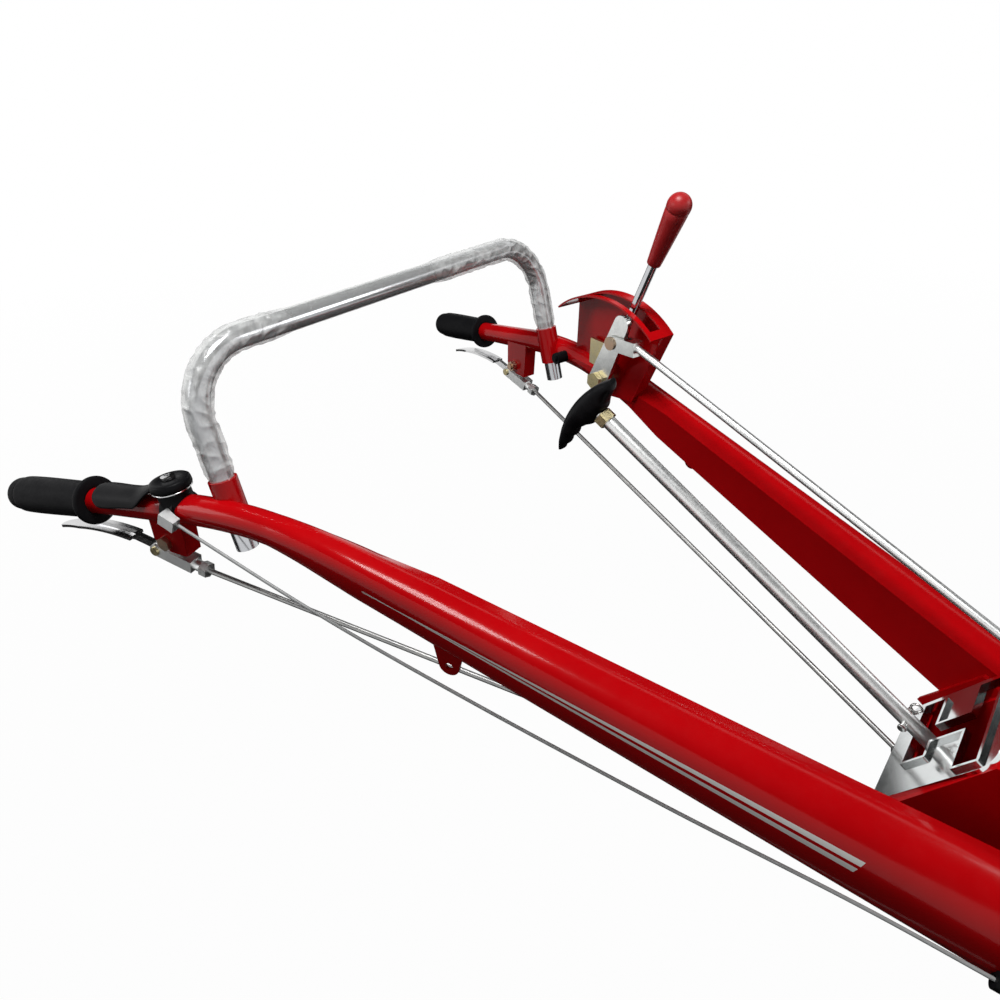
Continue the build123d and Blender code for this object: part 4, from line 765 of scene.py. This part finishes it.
def makeThrottle(form):
    post, along, up, out = throttleWays(form)
    disc = turnedShape(form["plate"], post, up, 64)
    plate = makePiece("throttleCapPlate", disc, made["brightSteel"], "frame", (True, True), crease=30)
    shell = turnedShape(form["cap"], post, up, 72)
    cap = makePiece("throttleCap", shell, made["blackMoulding"], "throttle", (True, True), crease=50)
    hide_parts("throttle_thumb")
    # the paddle: a flat rounded section of angle and radius about the tube, carried from its tip to the cap
    share = (1 - np.cos(np.linspace(0, np.pi, 71))) / 2
    rear, root = form["paddle"]
    bend = eased(share, *form["rootFrom"])
    tip = np.sqrt(np.clip(1 - np.clip(1 - share / form["tip"], 0, 1) ** 2, 0, 1))
    tip = tip * np.sqrt(np.clip(1 - share ** 40, 0, 1))
    waist, waistStart, waistEnd = form["waist"]
    middle, rootMiddle, spread, rootSpread = np.radians(form["spread"])
    ring, rootRing, half = form["ring"]
    around = np.linspace(0, 2 * np.pi, 48, endpoint=False)
    aside, thick = signedPower(np.cos(around), form["square"]), signedPower(np.sin(around), form["square"])
    centreAngle = middle + (rootMiddle - middle) * bend
    reach = (spread + (rootSpread - spread) * bend) * (1 - waist * eased(share, waistStart, waistEnd)) * tip
    angle = centreAngle[:, None] + reach[:, None] * aside
    radius = (ring + (rootRing - ring) * bend)[:, None] + half * np.minimum(tip * 1.5, 1)[:, None] * thick
    x = rear + (root - rear) * share
    points = (post + x[:, None, None] * along + (radius * np.cos(angle))[..., None] * up
              + (radius * np.sin(angle))[..., None] * out)
    paddle = makePiece("throttlePaddle", points, made["blackMoulding"], "throttle", (True, True))


def makeCapScrew(form):
    # a low dome over rings of radius and angle, with a cross pressed into it, then a short skirt
    post, along, up, out = throttleWays(form)
    radius, under, crown, fall, depth = form["screw"]
    halfCross, reach = form["cross"]
    r = np.concatenate([np.linspace(0, radius, 40), [radius]])[:, None]
    angle = np.linspace(0, 2 * np.pi, 120, endpoint=False)[None]
    x, y = r * np.cos(angle), r * np.sin(angle)
    cross = (np.minimum(np.abs(x), np.abs(y)) < halfCross) & (np.maximum(np.abs(x), np.abs(y)) < reach)
    height = crown - fall * (r / radius) ** 3 - depth * cross
    height[-1] = under
    points = post + height[..., None] * up + x[..., None] * along + y[..., None] * out
    screw = makePiece("throttleCapScrew", points, made["brightSteel"], "frame", (True, False), crease=30)


makeThrottle(throttle)
makeCapScrew(throttle)
print("throttle made")

# cross pin and split pin on the gear lever, above the gate
gearPin = {
    "along": 0.171,         # from the lever's pivot
    "radius": 0.0023,
    "half": 0.0135,
    "head": (0.0036, 0.0024),   # radius, length
    "chamfer": 0.0008,
    "ring": 0.0042,         # the split pin's eye
    "clear": 0.001,
    "wire": 0.0010,
    "leg": (0.0072, 0.002), # below the pin, and how far the legs part
    "inset": 0.0045,        # from the pin's end
}


def makeGearPin(form, lever):
    # the pin is turned about its own line, and the split pin is a wire carried along an eye with two legs
    c, s = math.cos(lever["slope"]), math.sin(lever["slope"])
    along, up, aside = np.array([-c, 0, s]), np.array([s, 0, c]), np.array([0.0, 1.0, 0.0])
    middle = np.array(lever["seat"]) + form["along"] * along
    half, radius = form["half"], form["radius"]
    head, headLength = form["head"]
    neck = headLength - half
    line = softened([(-half, 0), (-half, head), (neck, head), (neck, radius),
                     (half - form["chamfer"], radius), (half, radius * 0.6), (half, 0)], 1)
    barrel = turnedShape(line, middle, aside, 40)
    pin = makePiece("gearCrossPin", barrel, made["zincPlate"], "gear", (True, True))
    turn = np.linspace(-0.35 * np.pi, 1.35 * np.pi, 40)
    ring, (leg, part) = form["ring"], form["leg"]
    eye = np.column_stack([ring * np.sin(turn), ring * np.cos(turn) + ring + radius + form["clear"]])
    legs = np.linspace(0, 1, 16)[:, None]
    foot = np.array([0.25 * eye[0, 0] + part, -radius - leg])
    down, back = foot + (eye[0] - foot) * legs, eye[-1] + (foot * [-1, 1] - eye[-1]) * legs
    path = np.concatenate([down, eye[1:], back[1:]])
    flat = unit(np.gradient(path, axis=0))
    normal = np.column_stack([-flat[:, 1], flat[:, 0]])
    angle = np.linspace(0, 2 * np.pi, 12, endpoint=False)
    taper = np.ones(len(path))
    taper[[0, -1]] = 0.02
    place = middle + (half - form["inset"]) * aside
    wire = (form["wire"] * taper)[:, None]
    sideways = path[:, :1] + normal[:, :1] * wire * np.cos(angle)
    upward = path[:, 1:] + normal[:, 1:] * wire * np.cos(angle)
    outward = wire * np.sin(angle)
    points = place + sideways[..., None] * along + upward[..., None] * up + outward[..., None] * aside
    split = makePiece("gearSplitPin", points, made["zincPlate"], "gear", (True, True))


makeGearPin(gearPin, gearKnob)
print("gear pins made")

# pale floor and soft studio light
stageSet = {
    "floor": (-0.42, 30.0),             # height, half size
    "plain": 0.16,
    "white": (0.98, 1.0, 1.2, 4.0),     # share of white seen on the floor: near, far, from where to where
    "sky": 0.11,
    "lamps": [((-0.55, -0.25, 1.55), (-0.40, -0.02, 0.15), 0.5, 18.5),      # place, target, size, watts
              ((-1.7, -1.3, 0.9), (-0.5, 0, 0.2), 0.6, 4.0),
              ((0.9, 1.1, 1.0), (-0.2, 0, 0.1), 0.6, 5.0)],
    "cards": [((-0.2, 1.3, 0.4), (1.3, 0, 0), (0, 0, 0.5)), ((-1.9, 0.6, 0.5), (0.1, 0.5, 0), (0, 0, 1.0)),
              ((-0.4, -0.1, -0.40), (1.6, 0, 0), (0, 1.3, 0)),
              ((-0.4, 0, 2.4), (3.0, 0, 0), (0, 3.0, 0))],          # middle, half across, half up
}


def seenDirectly(tree):
    # 1 for a ray from the camera, a mirror or clear film
    path = addNode(tree, "ShaderNodeLightPath")
    first = addNode(tree, "ShaderNodeMath", {"operation": "ADD"})
    both = addNode(tree, "ShaderNodeMath", {"operation": "ADD", "use_clamp": True})
    tree.links.new(path.outputs["Is Camera Ray"], first.inputs[0])
    tree.links.new(path.outputs["Is Glossy Ray"], first.inputs[1])
    tree.links.new(first.outputs[0], both.inputs[0])
    tree.links.new(path.outputs["Is Transmission Ray"], both.inputs[1])
    return both.outputs[0]


def layFloor(setUp):
    height, half = setUp["floor"]
    mesh = bpy.data.meshes.new("floor")
    corners = [(x * half, y * half, height) for x, y in ((-1, -1), (1, -1), (1, 1), (-1, 1))]
    mesh.from_pydata(corners, [], [(0, 1, 2, 3)])
    floor = bpy.data.objects.new("floor", mesh)
    scene.collection.objects.link(floor)
    paint = bpy.data.materials.new("paleFloor")
    paint.use_nodes = True
    tree = paint.node_tree
    link = tree.links.new
    tree.nodes.remove(tree.nodes["Principled BSDF"])
    matt = addNode(tree, "ShaderNodeBsdfDiffuse", values={"Color": (setUp["plain"],) * 3 + (1,)})
    glow = addNode(tree, "ShaderNodeEmission", values={"Color": (1, 1, 1, 1), "Strength": 1.0})
    near, far, start, end = setUp["white"]
    place = addNode(tree, "ShaderNodeTexCoord")
    away = addNode(tree, "ShaderNodeVectorMath", {"operation": "LENGTH"})
    fade = addNode(tree, "ShaderNodeMapRange",
                   values={"From Min": start, "From Max": end, "To Min": near, "To Max": far})
    link(place.outputs["Object"], away.inputs[0])
    link(away.outputs["Value"], fade.inputs["Value"])
    share = addNode(tree, "ShaderNodeMath", {"operation": "MULTIPLY"})
    link(fade.outputs["Result"], share.inputs[1])
    mix = addNode(tree, "ShaderNodeMixShader")
    link(seenDirectly(tree), share.inputs[0])
    link(share.outputs[0], mix.inputs[0])
    link(matt.outputs[0], mix.inputs[1])
    link(glow.outputs[0], mix.inputs[2])
    link(mix.outputs[0], tree.nodes["Material Output"].inputs["Surface"])
    mesh.materials.append(paint)


def lightSky(setUp):
    world = bpy.data.worlds.new("paleSky")
    scene.world = world
    world.use_nodes = True
    tree = world.node_tree
    sky = tree.nodes["Background"]
    sky.inputs["Color"].default_value = (1, 1, 1, 1)
    strength = addNode(tree, "ShaderNodeMapRange", values={"To Min": setUp["sky"], "To Max": 1.0})
    tree.links.new(seenDirectly(tree), strength.inputs["Value"])
    tree.links.new(strength.outputs["Result"], sky.inputs["Strength"])


def hangLamps(setUp):
    for index, (place, target, size, power) in enumerate(setUp["lamps"]):
        data = bpy.data.lights.new(f"softLamp{index}", "AREA")
        data.size, data.energy = size, power
        lamp = bpy.data.objects.new(data.name, data)
        scene.collection.objects.link(lamp)
        way = Vector(target) - Vector(place)
        lamp.matrix_world = Matrix.Translation(place) @ way.to_track_quat("-Z", "Y").to_matrix().to_4x4()


def standCards(setUp):
    # dark cards that only mirrors see, as a studio uses round plated parts
    dark = bpy.data.materials.new("darkCard")
    dark.use_nodes = True
    shader = dark.node_tree.nodes["Principled BSDF"]
    shader.inputs["Base Color"].default_value = (0.01, 0.01, 0.01, 1)
    shader.inputs["Roughness"].default_value = 1.0
    for index, card in enumerate(setUp["cards"]):
        middle, across, up = np.array(card)
        corners = [middle + across * a + up * b for a, b in ((-1, -1), (1, -1), (1, 1), (-1, 1))]
        mesh = bpy.data.meshes.new(f"darkCard{index}")
        mesh.from_pydata([list(corner) for corner in corners], [], [(0, 1, 2, 3)])
        mesh.materials.append(dark)
        card = bpy.data.objects.new(mesh.name, mesh)
        scene.collection.objects.link(card)
        card.visible_camera = card.visible_diffuse = card.visible_shadow = False


layFloor(stageSet)
lightSky(stageSet)
hangLamps(stageSet)
standCards(stageSet)
print("stage set")
